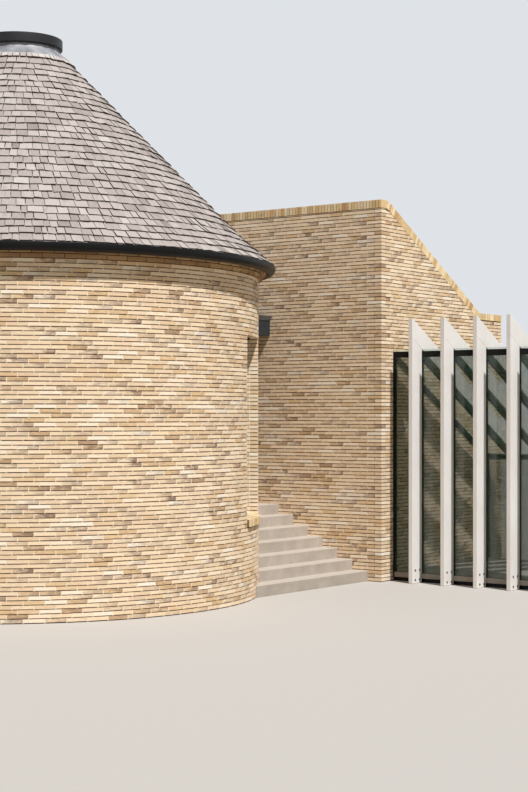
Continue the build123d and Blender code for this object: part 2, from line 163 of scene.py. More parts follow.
def toned(tree, marks, spread, stops):
    """Each brick's or shingle's own colour, from its tone, varied by the marks along it."""
    tone = add_node(tree, "Attribute", attribute_name="tone").outputs["Fac"]
    centred = add_node(tree, "Math", {0: marks, 1: 0.5}, operation="SUBTRACT")
    varied = add_node(tree, "Math", {0: centred, 1: spread, 2: tone}, operation="MULTIPLY_ADD")
    return add_node(tree, "ValToRGB", {"Fac": varied}, stops=stops)


def overlaid(tree, base, pattern, none_at, full_at, cover, colour):
    """Lays a second colour over a base, up to a cover, as the pattern goes from none to full."""
    share = add_node(tree, "MapRange", {"Value": pattern, "From Min": none_at, "From Max": full_at,
                                        "To Max": cover})
    return add_node(tree, "Mix", {"Factor": share, 6: base, 7: linear(colour)}, data_type="RGBA")


def grained_finish(name, stops, patterns, depth, averaged=False, **shader):
    """A finish from noises, each its grains to the metre and its detail. The first gives the colour,
    or else the average of two, and the last gives the relief."""
    material, tree, place = new_material(name, **shader)
    grains = [grain(tree, place, *pattern) for pattern in patterns]
    tint = grains[0]
    if averaged:
        added = add_node(tree, "Math", {0: grains[0], 1: grains[1]})
        tint = add_node(tree, "Math", {0: added, 1: 0.5}, operation="MULTIPLY")
    return surfaced(material, add_node(tree, "ValToRGB", {"Fac": tint}, stops=stops), grains[-1], depth)


def clay_brick(name, stops):
    """Handmade buff clay brick, sand-moulded and wood-fired: each brick has its own tone, with
    paler drag marks along it, and some have ragged smoky patches from the kiln."""
    material, tree, place = new_material(name, Roughness=0.92, Specular_IOR_Level=0.25)
    smoke, along = (add_node(tree, "Attribute", attribute_name=mark).outputs["Fac"]
                    for mark in ("smoke", "along"))
    # Drag marks about 60 mm long and 6 mm high
    drag = grain(tree, place, (16, 16, 160), 3)
    base = toned(tree, drag, 0.85, stops)
    # Kiln smoke in ragged patches about 100 mm long and 40 mm high, heavier at one end
    puff = grain(tree, place, (8, 8, 20), 6, 0.7)
    creep = add_node(tree, "Math", {0: along, 1: 0.22, 2: puff}, operation="MULTIPLY_ADD")
    smoked = overlaid(tree, base, creep, 0.48, 0.72, smoke, "#8b7263")
    # Sand grit of about 3 mm
    grit = grain(tree, place, 330, 2)
    speckled = overlaid(tree, smoked, grit, 0.64, 0.74, 0.3, "#8d7458")
    relief = add_node(tree, "Math", {0: grit, 1: 0.4, 2: drag}, operation="MULTIPLY_ADD")
    return surfaced(material, speckled, relief, 0.003)


def lime_mortar(name, dark, pale):
    """Sandy lime mortar: dull, with grains of about 2 mm and slow patches of damp and dry."""
    return grained_finish(name, [(0.35, dark), (0.65, pale)], [(6, 4), (500, 1)], 0.0015, averaged=True,
                          Roughness=0.95, Specular_IOR_Level=0.2)


def weathered_shingle():
    """Split oak shingle, weathered silver: long grain up the slope, each one its own grey, with grey-brown
    stains in patches here and there."""
    material, tree, _ = new_material("weathered_oak_shingle", Roughness=0.85, Specular_IOR_Level=0.3)
    lay = add_node(tree, "UVMap", uv_map="lay")
    # Grain lines about 4 mm wide that run up the shingle
    lines = grain(tree, lay, (250, 9, 1), 3)
    base = toned(tree, lines, 0.8, [(0.0, "#80756f"), (0.2, "#988e89"), (0.5, "#b0a7a2"), (0.8, "#c0b8b4"),
                                    (1.0, "#d0cac6")])
    stained = overlaid(tree, base, grain(tree, lay, (14, 5, 1), 2), 0.55, 0.8, 0.45, "#857a74")
    return surfaced(material, stained, lines, 0.002)


def sawn_wood(name, dark, pale):
    """Rough-sawn wood, dull dark brown, with coarse saw grain. Its dark here is painted shade, on the
    shingles' butts and edges and on the deck in their gaps.
    """
    return grained_finish(name, [(0.3, dark), (0.7, pale)], [((40, 40, 8), 3)], 0.001,
                          Roughness=0.9, Specular_IOR_Level=0.2)


def painted_metal(name, colour, worn, roughness, gloss):
    """Powder-coated sheet metal: even and satin, with a faint dusty bloom in broad patches, and
    orange peel of about 1.5 mm."""
    return grained_finish(name, [(0.35, colour), (0.75, worn)], [(2.5, 5), (650, 0)], 0.0002,
                          Roughness=roughness, Specular_IOR_Level=gloss)


def cast_stone(name, dark, pale, worn):
    """Honed cast stone: warm grey, fine-grained, with small dark blow holes and slow mottling."""
    material, tree, place = new_material(name, Roughness=0.75, Specular_IOR_Level=0.35)
    cast = add_node(tree, "ValToRGB", {"Fac": grain(tree, place, 4, 8, 0.65)},
                    stops=[(0.35, dark), (0.65, pale)])
    # Painted light: treads and other level faces are painted paler than the upright ones, as if lit from
    # above; the worn colour is that painted light
    facing = add_node(tree, "NewGeometry").outputs["Normal"]
    top_light_share = add_node(tree, "SeparateXYZ", {"Vector": facing}).outputs["Z"]
    base = overlaid(tree, cast, top_light_share, 0.5, 1.0, 0.7, worn)
    # Blow holes up to 12 mm, about 150 mm apart
    holes = add_node(tree, "TexVoronoi", {"Vector": place, "Scale": 7.0})
    spotted = overlaid(tree, base, holes, 0.06, 0.03, 0.55, "#6d645c")
    return surfaced(material, spotted, grain(tree, place, 420, 2), 0.0006)


def clear_glass(name, cover, dark, pale):
    """Sealed glazing: clear, with the green that iron gives thick glass, and slow ripples about
    300 mm apart that bend the reflections."""
    return grained_finish(name, [(0.3, dark), (0.7, pale)], [(3, 0)], 0.002,
                          Roughness=0.01, IOR=1.52, Alpha=cover, Specular_IOR_Level=1.0)


# Bricks and mortars
BUFF_STOPS = [(0.0, "#b1947a"), (0.14, "#cdad8c"), (0.28, "#e5c598"), (0.42, "#ebcfab"), (0.52, "#edd5bc"),
              (0.64, "#f6deb9"), (0.78, "#fae4c8"), (0.9, "#fcebd2"), (1.0, "#fdf2e0")]
# Painted shade: the corbel's bricks under the eaves are darker browns than the wall's, standing in for the
# eaves' shade
CORBEL_SHADE_STOPS = [(0.0, "#886c4c"), (0.35, "#a88862"), (0.7, "#bd9d75"), (1.0, "#cfb18a")]
COPING_STOPS = [(0.0, "#c49a68"), (0.25, "#d8b27f"), (0.5, "#e7ca98"), (0.75, "#f0d9ae"),
                (1.0, "#f7e6c6")]
wall_brick = clay_brick("buff_handmade_clay_brick", BUFF_STOPS)
edge_brick = clay_brick("yellow_handmade_clay_brick", COPING_STOPS)
corbel_shade_brick = clay_brick("handmade_clay_brick_painted_eaves_shade", CORBEL_SHADE_STOPS)
bed_mortar = lime_mortar("raked_lime_mortar", "#594331", "#755e48")
flush_mortar = lime_mortar("flush_lime_mortar", "#e9d8b8", "#f7ebd3")
pointed_mortar = lime_mortar("pointed_lime_mortar", "#5f482f", "#7c6144")
# Float-finished lime plaster inside the rooms: off-white with faint trowel clouds
plaster = grained_finish("float_finished_plaster", [(0.35, "#cfc8bd"), (0.65, "#dcd6cc")], [(3, 5)], 0.002,
                         Roughness=0.9, Specular_IOR_Level=0.2)
# Woods
shingle = weathered_shingle()
# Painted shade: the dark wood on the shingles' butts and side edges
shingle_edge_shade = sawn_wood("oak_shingle_edge_painted_shade", "#41372f", "#5d5148")
# Painted shade: the deck's boards are darkened so that the gaps between shingles read as shade
deck_gap_shade_timber = sawn_wood("rough_sawn_softwood_painted_gap_shade", "#3a322b", "#564b40")
# Laminated timber under a thin pale grey wash, with fine straight grain that shows through
timber = grained_finish("grey_washed_laminated_timber", [(0.3, "#e3dedb"), (0.5, "#eeebe8"),
                                                        (0.7, "#f5f3f1")],
                        [(1.6, 3), ((220, 220, 3), 3)], 0.0006, averaged=True,
                        Roughness=0.6, Specular_IOR_Level=0.35)
# Metals
black_metal = painted_metal("black_powder_coated_aluminium", "#0b0c0c", "#131413", 0.42, 0.18)
grey_metal = painted_metal("dark_grey_powder_coated_steel", "#2b3035", "#383d43", 0.45, 0.30)
# Painted light: the porch roof's lip is painted paler than its sheet, as sky light on it
lit_lip_metal = painted_metal("grey_powder_coated_steel_painted_sky_light", "#6b747a", "#7a838a", 0.45, 0.35)
curb_metal = painted_metal("charcoal_powder_coated_steel", "#1f1f22", "#2a2a2d", 0.45, 0.3)
sill_metal = painted_metal("grey_brown_powder_coated_sill", "#918a81", "#a39b92", 0.5, 0.35)
# Dressed lead: pale grey where it has weathered, darker where it is freshly rubbed, and softly
# dented by the dresser every 60 mm or so
lead = grained_finish("dressed_lead_sheet", [(0.3, "#6e7075"), (0.5, "#8e9095"), (0.7, "#adaeb3")],
                      [(5, 6), (16, 1)], 0.008, Metallic=0.15, Roughness=0.62)
# Turned stainless bolts: bright, with fine rings left by the lathe
bolt_steel = grained_finish("stainless_bolt_steel", [(0.3, "#55534f"), (0.7, "#8b8782")], [(800, 1)], 0.0002,
                            Metallic=1.0, Roughness=0.35)
# Stone and glass
# The last colour given to each cast stone is painted light on its level faces
step_stone = cast_stone("honed_cast_stone", "#a99f94", "#b9afa5", "#c2b9ae")
floor_screed = cast_stone("polished_screed", "#a8a29b", "#b8b2ab", "#b0aaa3")
glass = clear_glass("clear_double_glazing", 0.35, "#22443c", "#315a51")
screen_glass = clear_glass("green_tinted_double_glazing", 0.41, "#2a4738", "#385848")
roof_glass = clear_glass("green_laminated_roof_glass", 0.21, "#82b898", "#a3cfb2")


def finish_piece(piece, slot, *nodes):
    """Makes a piece ride with the building, in place of these nodes. Its slot is not used."""
    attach(piece, BODY)
    if nodes:
        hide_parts(*nodes)
    return piece


def new_object(name, data):
    """A new object in the scene."""
    made = bpy.data.objects.new(name, data)
    bpy.context.scene.collection.objects.link(made)
    return made


def set_materials(piece, *materials):
    """Gives a piece these materials in place of its own."""
    piece.data.materials.clear()
    for material in materials:
        piece.data.materials.append(material)


def flat_face(origin, along, up=(0, 0, 1)):
    """Places points of a flat face: u runs along it, v stands out of it and w runs up it."""
    o, a, b = (np.array(x, float) for x in (origin, along, up))
    out = np.cross(a, b)

    def place(u, v, w):
        return o + u[..., None] * a + v[..., None] * out + w[..., None] * b
    return place


def round_face(radius):
    """Places points of the round wall: u is the length round it, v stands out and w is the height."""
    def place(u, v, w):
        angle = u / radius
        return np.stack([(radius + v) * np.cos(angle), (radius + v) * np.sin(angle), w], axis=-1)
    return place


def rectangles(lefts, rights, bottom, top):
    """Four (u, w) corners for each rectangle, anticlockwise as seen from outside."""
    l, r = np.asarray(lefts, float), np.asarray(rights, float)
    b, t = np.broadcast_to(bottom, l.shape), np.broadcast_to(top, l.shape)
    return np.stack([np.stack([l, b], -1), np.stack([r, b], -1), np.stack([r, t], -1),
                     np.stack([l, t], -1)], axis=-2)


def boxes(place, quads, back, front):
    """Eight corners for each box that runs from a back depth to a front depth behind its quad."""
    u, w = quads[..., 0], quads[..., 1]
    back = np.broadcast_to(back, u.shape)
    front = np.broadcast_to(front, u.shape)
    return np.concatenate([place(u, back, w), place(u, front, w)], axis=1)


BOX_FACES = np.array([(4, 5, 6, 7), (3, 2, 1, 0), (0, 1, 5, 4), (1, 2, 6, 5), (2, 3, 7, 6), (3, 0, 4, 7)])
BOX_ALONG = np.array([0, 1, 1, 0, 0, 1, 1, 0], float)


def joined_boxes(name, layers, materials):
    """One mesh from arrays of boxes. Each layer is (corner points, material number, tones, smoke)."""
    layers = [layer for layer in layers if len(layer[0])]
    points = np.concatenate([layer[0] for layer in layers])
    count = len(points)
    faces = (BOX_FACES[None] + 8 * np.arange(count)[:, None, None]).reshape(-1, 4)
    mesh = bpy.data.meshes.new(name)
    mesh.from_pydata(points.reshape(-1, 3).tolist(), [], faces.tolist())
    piece = new_object(name, mesh)
    set_materials(piece, *materials)
    kinds = np.concatenate([np.full(len(layer[0]), layer[1]) for layer in layers])
    mesh.polygons.foreach_set("material_index", np.repeat(kinds, 6).astype(np.int32))
    for mark, column in (("tone", 2), ("smoke", 3)):
        values = np.concatenate([np.broadcast_to(layer[column], (len(layer[0]),)) for layer in layers])
        attribute = mesh.attributes.new(mark, "FLOAT", "FACE")
        attribute.data.foreach_set("value", np.repeat(values, 6).astype(np.float32))
    along = mesh.attributes.new("along", "FLOAT", "POINT")
    along.data.foreach_set("value", np.tile(BOX_ALONG, count).astype(np.float32))
    return piece


def choose_only(piece):
    """Leaves one object selected and active, so that operators act on it alone."""
    bpy.ops.object.select_all(action="DESELECT")
    piece.select_set(True)
    bpy.context.view_layer.objects.active = piece


def joined(pieces, name=None):
    """One object from many: it keeps the first one's name, or gets its own."""
    whole = pieces[0]
    choose_only(whole)
    for piece in pieces[1:]:
        piece.select_set(True)
    bpy.ops.object.join()
    if name:
        whole.name = name
    return whole


def node_copy(node, name):
    """A merged copy of a node's mesh, for a piece that keeps its outline."""
    copy = new_object(name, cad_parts[node].data.copy())
    choose_only(copy)
    bpy.ops.object.mode_set(mode="EDIT")
    bpy.ops.mesh.select_all(action="SELECT")
    bpy.ops.mesh.remove_doubles(threshold=WELD)
    bpy.ops.mesh.dissolve_limited(angle_limit=radians(0.5))
    bpy.ops.object.mode_set(mode="OBJECT")
    return copy


def mesh_points(piece):
    """The piece's vertices as an array."""
    points = np.zeros(len(piece.data.vertices) * 3)
    piece.data.vertices.foreach_get("co", points)
    return points.reshape(-1, 3)


def set_points(piece, points):
    """Moves the piece's vertices to an array of places."""
    piece.data.vertices.foreach_set("co", points.ravel())
    piece.data.update()


def shift_at(points, axis, place, shift):
    """Moves the points that lie at a place on one axis by a shift along it."""
    points[np.abs(points[:, axis] - place) < NEAR, axis] += shift


def polar(points):
    """Distances from the round room's axis, and angles round it."""
    return np.hypot(points[:, 0], points[:, 1]), np.arctan2(points[:, 1], points[:, 0])


# What the faces of brickwork are, in the order of its materials
CORE, BRICK, FLUSH, LINED = range(4)
WALL_MATERIALS = (bed_mortar, wall_brick, flush_mortar, plaster)
# Painted shade: the corbel's upright joints take the dark pointed mortar, not the pale flush one, as the
# eaves' shade
CORBEL_SHADE_MATERIALS = (bed_mortar, corbel_shade_brick, pointed_mortar, plaster)
COPING_MATERIALS = (pointed_mortar, edge_brick, flush_mortar, plaster)


def wall_core(node, raked, materials=WALL_MATERIALS):
    """The wall behind its bricks: a node's copy with its brick faces raked back. raked takes the
    points and gives the moved ones; faces that moved are mortar, and the rest are plaster."""
    core = node_copy(node, "brickwork_of_" + node)
    before = mesh_points(core)
    after = raked(before.copy())
    moved = np.linalg.norm(after - before, axis=1) > HAIR
    set_points(core, after)
    set_materials(core, *materials)
    for face in core.data.polygons:
        face.material_index = CORE if all(moved[v] for v in face.vertices) else LINED
        face.use_smooth = False
    return core


def finish_bricks(core, node, layers, materials=WALL_MATERIALS, slot="brickwork"):
    """Joins bricks to the core behind them, as the piece that stands for a node."""
    finish_piece(joined([core, joined_boxes("laid_bricks", layers, materials)]), slot, node)


def course_bricks(start, end, course, first=0.0, last=0.0, phase=0.0):
    """Left and right ends of the bricks in one course: first and last are whole corner bricks, and
    the rest follow the bond, with cut bricks where the course begins and ends."""
    left = start + first + JOINT if first else start
    right = end - last - JOINT if last else end
    offset = phase + BOND_STEPS[course % len(BOND_STEPS)] * PITCH
    n = np.arange(np.ceil((left - offset) / PITCH) - 1, np.floor((right - offset) / PITCH) + 2)
    joints = offset + n * PITCH
    joints = joints[(joints > left + SMALLEST_CUT) & (joints < right - SMALLEST_CUT)]
    bounds = np.concatenate([[left - JOINT / 2], joints, [right + JOINT / 2]])
    lefts, rights = bounds[:-1] + JOINT / 2, bounds[1:] - JOINT / 2
    uprights = list(joints)
    if first:
        lefts = np.concatenate([[start], lefts])
        rights = np.concatenate([[start + first], rights])
        uprights.append(start + first + JOINT / 2)
    if last:
        lefts = np.concatenate([lefts, [right + JOINT]])
        rights = np.concatenate([rights, [end]])
        uprights.append(right + JOINT / 2)
    return lefts, rights, np.array(uprights)


def brick_marks(count, dice):
    """A tone for each brick, and kiln smoke on a few."""
    tones = np.clip(dice.normal(USUAL_TONE, TONE_SPREAD, count), 0.0, 1.0)
    fired = dice.random(count)
    smoke = np.where(fired < SMOKED_SHARE, dice.uniform(*LIGHT_SMOKE, count), 0.0)
    smoke = np.where(fired < HEAVY_SHARE, smoke + HEAVY_SMOKE, smoke)
    return tones, smoke


def upright_joints(place, uprights, bottom):
    """A layer of the flush upright joints in a course, which also cross its bed."""
    marks = rectangles(uprights - JOINT / 2, uprights + JOINT / 2, bottom, bottom + COURSE)
    return boxes(place, marks, -2 * RAKE_DEPTH, -FLUSH_DEPTH), FLUSH, 0.5, 0.0


def lay_course(place, lefts, rights, uprights, bottom, dice, depth=BRICK_DEPTH):
    """Layers for one course: its bricks and its upright joints."""
    count = len(lefts)
    low = bottom + JOINT + dice.uniform(-BEDDING_WANDER, BEDDING_WANDER, count)
    high = bottom + COURSE + dice.uniform(-BEDDING_WANDER, 0, count)
    quads = rectangles(lefts, rights, low, high)
    front = -dice.uniform(0, FACE_WANDER, (count, 1))
    tones, smoke = brick_marks(count, dice)
    bricks = boxes(place, quads, -depth, front), BRICK, tones, smoke
    return [bricks, upright_joints(place, uprights, bottom)]


def share_out(layers, node, layer, own):
    """Adds the boxes of a layer that are a node's own to that node's layers."""
    points, kind, tones, smoke = layer
    tones, smoke = (np.broadcast_to(mark, len(points))[own] for mark in (tones, smoke))
    layers.setdefault(node, []).append((points[own], kind, tones, smoke))


# Round wall
def polar_range(node):
    """First and last angle of a node about the round room's axis, in degrees."""
    angles = np.degrees(polar(mesh_points(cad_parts[node]))[1])
    return float(angles.min()), float(angles.max())


drum_face = round_face(DRUM_RADIUS)
ANGLE_TO_LENGTH = radians(1) * DRUM_RADIUS
DOOR_START, DOOR_END = polar_range("drum_wall_over_door")
WINDOW_START, WINDOW_END = polar_range("window_sill")
SEGMENT_SWEEP = (360 + WINDOW_START - DOOR_END) / 4
DRUM_SEGMENTS = ["drum_wall_back", "drum_wall_left", "drum_wall_front", "drum_wall_right"]
DRUM_PITCH = 2 * pi * DRUM_RADIUS / ROUND_BRICKS
# A point this many degrees from an opening's side lies on it
SIDE_NEAR = 0.05
# How far the round wall's facets may lie inside its true radius
FLAT_SAG = 0.004
# Above the doorway a course starts this many degrees before its side, over the doorway itself
OVER_DOOR_START = 9
# How far the reveal's inner bricks reach into the wall
REVEAL_BRICK = 0.06


def drum_node(angle, height):
    """The wall node that holds a brick, from its middle angle in degrees and its height."""
    angle = (angle - DOOR_END) % 360
    segment = int(angle // SEGMENT_SWEEP)
    if segment < 4:
        return DRUM_SEGMENTS[segment]
    if angle < WINDOW_END + 360 - DOOR_END:
        return "drum_wall_over_window" if height > WINDOW_HEAD - COURSE else "drum_wall_under_window"
    if angle < DOOR_START + 360 - DOOR_END:
        return "drum_wall_beside_steps"
    return "drum_wall_over_door"


def drum_ranges(height):
    """Stretches of round wall at a height, in degrees from the doorway round to it again."""
    window = SILL_BASE < height < WINDOW_HEAD - COURSE / 2
    if height > DOORWAY_HEAD:
        start = DOOR_END - OVER_DOOR_START
        return [(start, WINDOW_START + 360), (WINDOW_END + 360, start + 360)] if window else [(start, None)]
    if window:
        return [(DOOR_END, WINDOW_START + 360), (WINDOW_END + 360, DOOR_START + 360)]
    return [(DOOR_END, DOOR_START + 360)]


def drum_core_raked(points):
    """Rakes back the round wall's outer face, the window and doorway sides, and their heads."""
    radius, angle = polar(points)
    angle = np.degrees(angle)
    turn = np.zeros(len(points))
    step = RAKE_DEPTH / ANGLE_TO_LENGTH
    for side, way in ((WINDOW_START, -step), (WINDOW_END, step), (DOOR_START, -step), (DOOR_END, step)):
        turn[np.abs(angle - side) < SIDE_NEAR] = way
    radius = np.where(radius > DRUM_RADIUS - FLAT_SAG, radius - RAKE_DEPTH, radius)
    angle = np.radians(angle + turn)
    points[:, 0], points[:, 1] = radius * np.cos(angle), radius * np.sin(angle)
    for head in (WINDOW_HEAD, DOORWAY_HEAD):
        shift_at(points, 2, head, RAKE_DEPTH)
    return points


def drum_course(course):
    """Ends and upright joints of one course's bricks, for each stretch of the round wall."""
    found = []
    scale = DRUM_PITCH / PITCH
    phase = radians(DOOR_END) * DRUM_RADIUS
    for start, end in drum_ranges((course + 0.5) * COURSE + JOINT / 2):
        if end is None:
            first = phase + BOND_STEPS[course % len(BOND_STEPS)] * DRUM_PITCH
            lefts = first + DRUM_PITCH * np.arange(ROUND_BRICKS) + JOINT / 2
            found.append((lefts, lefts + DRUM_PITCH - JOINT, lefts - JOINT / 2))
        else:
            a, b = (angle * ANGLE_TO_LENGTH / scale for angle in (start, end))
            found.append([u * scale for u in course_bricks(a, b, course, phase=phase / scale)])
    return found


def window_lining(layers, dice):
    """Inner bricks of the window's reveal, behind the facing bricks."""
    sides = ((WINDOW_START, -1, "drum_wall_right"), (WINDOW_END, 1, "drum_wall_beside_steps"))
    for side, way, home in sides:
        near, far = sorted((side * ANGLE_TO_LENGTH, side * ANGLE_TO_LENGTH + way * REVEAL_BRICK))
        for course in range(round(SILL_BASE / COURSE), round(WINDOW_HEAD / COURSE)):
            low, high = course * COURSE + JOINT, (course + 1) * COURSE
            tones, smoke = brick_marks(1, dice)
            inner = rectangles([near], [far], low, high)
            inner = boxes(drum_face, inner, -LINING_DEPTH, -BRICK_DEPTH - JOINT)
            layers[home].append((inner, BRICK, tones, smoke))
            fill = rectangles([near + FLUSH_DEPTH], [far - FLUSH_DEPTH], low - JOINT, high)
            fill = boxes(drum_face, fill, -BRICK_DEPTH - JOINT, -BRICK_DEPTH)
            layers[home].append((fill, FLUSH, 0.5, 0.0))


def dress_drum():
    """Bricks on every length of the round wall, each length its own piece."""
    layers = {}
    dice = np.random.default_rng(SEED)
    for course in range(round(DRUM_TOP / COURSE)):
        middle = course * COURSE + (COURSE + JOINT) / 2
        for lefts, rights, uprights in drum_course(course):
            laid = lay_course(drum_face, lefts, rights, uprights, course * COURSE, dice)
            places = [np.degrees((lefts + rights) / 2 / DRUM_RADIUS), np.degrees(uprights / DRUM_RADIUS)]
            for layer, angles in zip(laid, places):
                homes = np.array([drum_node(angle, middle) for angle in angles])
                for home in set(homes):
                    share_out(layers, home, layer, homes == home)
            # The course over the window has inner bricks too
            if abs(course * COURSE + JOINT - WINDOW_HEAD) < JOINT / 2:
                over = (places[0] > WINDOW_START) & (places[0] < WINDOW_END)
                inner = rectangles(lefts[over], rights[over], middle - COURSE / 2, middle)
                inner = boxes(drum_face, inner, -LINING_DEPTH, -BRICK_DEPTH - JOINT / 2)
                layers["drum_wall_over_window"].append((inner, BRICK, *brick_marks(len(inner), dice)))
    window_lining(layers, dice)
    for node, own in sorted(layers.items()):
        finish_bricks(wall_core(node, drum_core_raked), node, own)


def dress_corbel():
    """Two courses under the eaves, each stepping out, with a flat face to each brick."""
    dice = np.random.default_rng(SEED + 1)
    courses = round((CORBEL_TOP - DRUM_TOP) / COURSE)
    step = (CORBEL_RADIUS - DRUM_RADIUS) / courses
    layers = []
    for course in range(courses):
        radius = DRUM_RADIUS + step * (course + 1)
        pitch = 2 * pi * radius / ROUND_BRICKS
        lefts = pitch * (np.arange(ROUND_BRICKS) + 0.5 * course) + JOINT / 2
        layers += lay_course(round_face(radius), lefts, lefts + pitch - JOINT, lefts - JOINT / 2,
                             DRUM_TOP + course * COURSE, dice, depth=BRICK_DEPTH + step)

    def raked(points):
        radius = polar(points)[0]
        course = np.clip(np.floor((points[:, 2] - DRUM_TOP + NEAR) / COURSE), 0, courses)
        under = DRUM_RADIUS + step * course - RAKE_DEPTH
        # The outer points of each step stay a little proud of the ones below, so that no two meet
        under += NEAR * (radius > DRUM_RADIUS + step * (course + 0.5))
        outer = radius > DRUM_RADIUS + step / 2
        points[outer, :2] *= (under[outer] / radius[outer])[:, None]
        return points

    finish_bricks(wall_core("drum_corbel", raked, CORBEL_SHADE_MATERIALS), "drum_corbel", layers, CORBEL_SHADE_MATERIALS)


# Block walls
def rake_height(y):
    """Height of the wall's top under its raking coping at a distance back."""
    return FRONT_WALL_TOP - (y - RAKE_HEAD) * RAKE_SLOPE


def under_rake(lefts, rights, low, high, depth_back):
    """Quads of a course cut off under the raking line; depth_back turns u into a distance back."""
    quads, kept = [], []
    for i, (left, right) in enumerate(zip(lefts, rights)):
        tops = [min(rake_height(depth_back(u)), FRONT_WALL_TOP) - JOINT - COPING_SINK for u in (left, right)]
        if low[i] < BACK_WALL_TOP - COURSE:
            tops = [max(t, BACK_WALL_TOP - COPING_SINK) for t in tops]
        if max(tops) <= low[i]:
            continue
        cuts = [left, right]
        for level in (high[i], low[i]):
            if (tops[0] - level) * (tops[1] - level) < 0:
                cuts.append(left + (right - left) * (tops[0] - level) / (tops[0] - tops[1]))
        cuts = sorted(cuts)
        for a, b in zip(cuts, cuts[1:]):
            ends = [tops[0] + (tops[1] - tops[0]) * (u - left) / (right - left) for u in (a, b)]
            if max(ends) <= low[i] + HAIR:
                continue
            ends = [min(max(end, low[i]), high[i]) for end in ends]
            quads.append([(a, low[i]), (b, low[i]), (b, ends[1]), (a, ends[0])])
            kept.append(i)
    return np.array(quads).reshape(-1, 4, 2), np.array(kept, int)


def block_faces():
    """The block's four outer faces: how each is placed, its run, and which node holds a point."""
    half = DOORWAY_WIDTH / 2
    room_front, room_back = BLOCK_FRONT + WALL_THICKNESS, BLOCK_BACK - WALL_THICKNESS
    front = [("block_front_wall_left", BLOCK_LEFT, -half), ("block_front_wall_over_door", -half, half),
             ("block_front_wall_right", half, BLOCK_RIGHT)]
    right = [("block_front_wall_right", BLOCK_FRONT, room_front), ("block_right_wall", room_front, room_back),
             ("block_back_wall", room_back, BLOCK_BACK)]
    left = [("block_front_wall_left", -room_front, -BLOCK_FRONT),
            ("block_left_wall", -room_back, -room_front), ("block_back_wall", -BLOCK_BACK, -room_back)]
    back = [("block_back_wall", -BLOCK_RIGHT, -BLOCK_LEFT)]
    return [
        ("front", flat_face((0, BLOCK_FRONT, 0), (1, 0, 0)), BLOCK_LEFT, BLOCK_RIGHT, front, None),
        ("right", flat_face((BLOCK_RIGHT, 0, 0), (0, 1, 0)), BLOCK_FRONT, BLOCK_BACK, right, lambda u: u),
        ("back", flat_face((0, BLOCK_BACK, 0), (-1, 0, 0)), -BLOCK_RIGHT, -BLOCK_LEFT, back, None),
        ("left", flat_face((BLOCK_LEFT, 0, 0), (0, -1, 0)), -BLOCK_BACK, -BLOCK_FRONT, left, lambda u: -u),
    ]


def block_core_raked(points):
    """Rakes back the block's four outer faces, the doorway's sides and its head."""
    half = DOORWAY_WIDTH / 2
    for axis, place, way in ((0, BLOCK_RIGHT, -1), (0, BLOCK_LEFT, 1), (1, BLOCK_FRONT, 1),
                             (1, BLOCK_BACK, -1), (0, half, 1), (0, -half, -1), (2, DOORWAY_HEAD, 1)):
        shift_at(points, axis, place, way * RAKE_DEPTH)
    return points


BLOCK_PHASE = 0.07


def lay_block_course(place, top, depth_back, course, stretch, dice):
    """A stretch of the block's course, cut off under its coping: layers, each with its boxes' middles."""
    bottom = course * COURSE
    start, end, first, last = stretch
    lefts, rights, uprights = course_bricks(start, end, course, first, last, phase=BLOCK_PHASE)
    count = len(lefts)
    low = bottom + JOINT + dice.uniform(-BEDDING_WANDER, BEDDING_WANDER, count)
    high = np.minimum(bottom + COURSE + dice.uniform(-BEDDING_WANDER, 0, count), top - JOINT - COPING_SINK)
    tones, smoke = brick_marks(count, dice)
    peaks = np.full(len(uprights), top)
    if depth_back:
        quads, kept = under_rake(lefts, rights, low, high, depth_back)
        peaks = np.minimum(top, rake_height(depth_back(uprights)))
        if bottom < BACK_WALL_TOP - COURSE:
            peaks = np.maximum(peaks, BACK_WALL_TOP)
    else:
        kept = np.nonzero(high > low)[0]
        quads = rectangles(lefts, rights, low, high)[kept]
    if not len(kept):
        return []
    front = -dice.uniform(0, FACE_WANDER, count)[kept][:, None]
    bricks = boxes(place, quads, -BRICK_DEPTH, front), BRICK, tones[kept], smoke[kept]
    uprights = uprights[peaks > bottom + COURSE]
    return [(bricks, quads[..., 0].mean(axis=1)), (upright_joints(place, uprights, bottom), uprights)]


def dress_block():
    """Bricks on the block's outer faces, bonded round its corners."""
    layers = {}
    dice = np.random.default_rng(SEED + 2)
    half = DOORWAY_WIDTH / 2
    for number, (side, place, start, end, nodes, depth_back) in enumerate(block_faces()):
        top = BACK_WALL_TOP if side == "back" else FRONT_WALL_TOP
        for course in range(int(np.ceil(top / COURSE))):
            # Whole corner bricks belong to each face in turn
            owns = (course + number) % 2 == 0
            corner = BRICK_LENGTH if owns else 0.0
            inset = 0.0 if owns else BRICK_DEPTH + JOINT
            stretches = [(start + inset, end - inset, corner, corner)]
            middle = course * COURSE + (COURSE + JOINT) / 2
            if side == "front" and FLOOR_LEVEL - COURSE < middle < DOORWAY_HEAD:
                stretches = [(start + inset, -half, corner, 0.0), (half, end - inset, 0.0, corner)]
            for stretch in stretches:
                for layer, middles in lay_block_course(place, top, depth_back, course, stretch, dice):
                    for node, near_end, far_end in nodes:
                        share_out(layers, node, layer, (middles >= near_end) & (middles < far_end))
    for node, own in sorted(layers.items()):
        finish_bricks(wall_core(node, block_core_raked), node, own)


PORCH_WALL_PHASE = 0.11
# The porch's end wall stops this far short of the round wall's bricks
PORCH_WALL_GAP = 0.01
PORCH_BRICK_DEPTH = 0.1


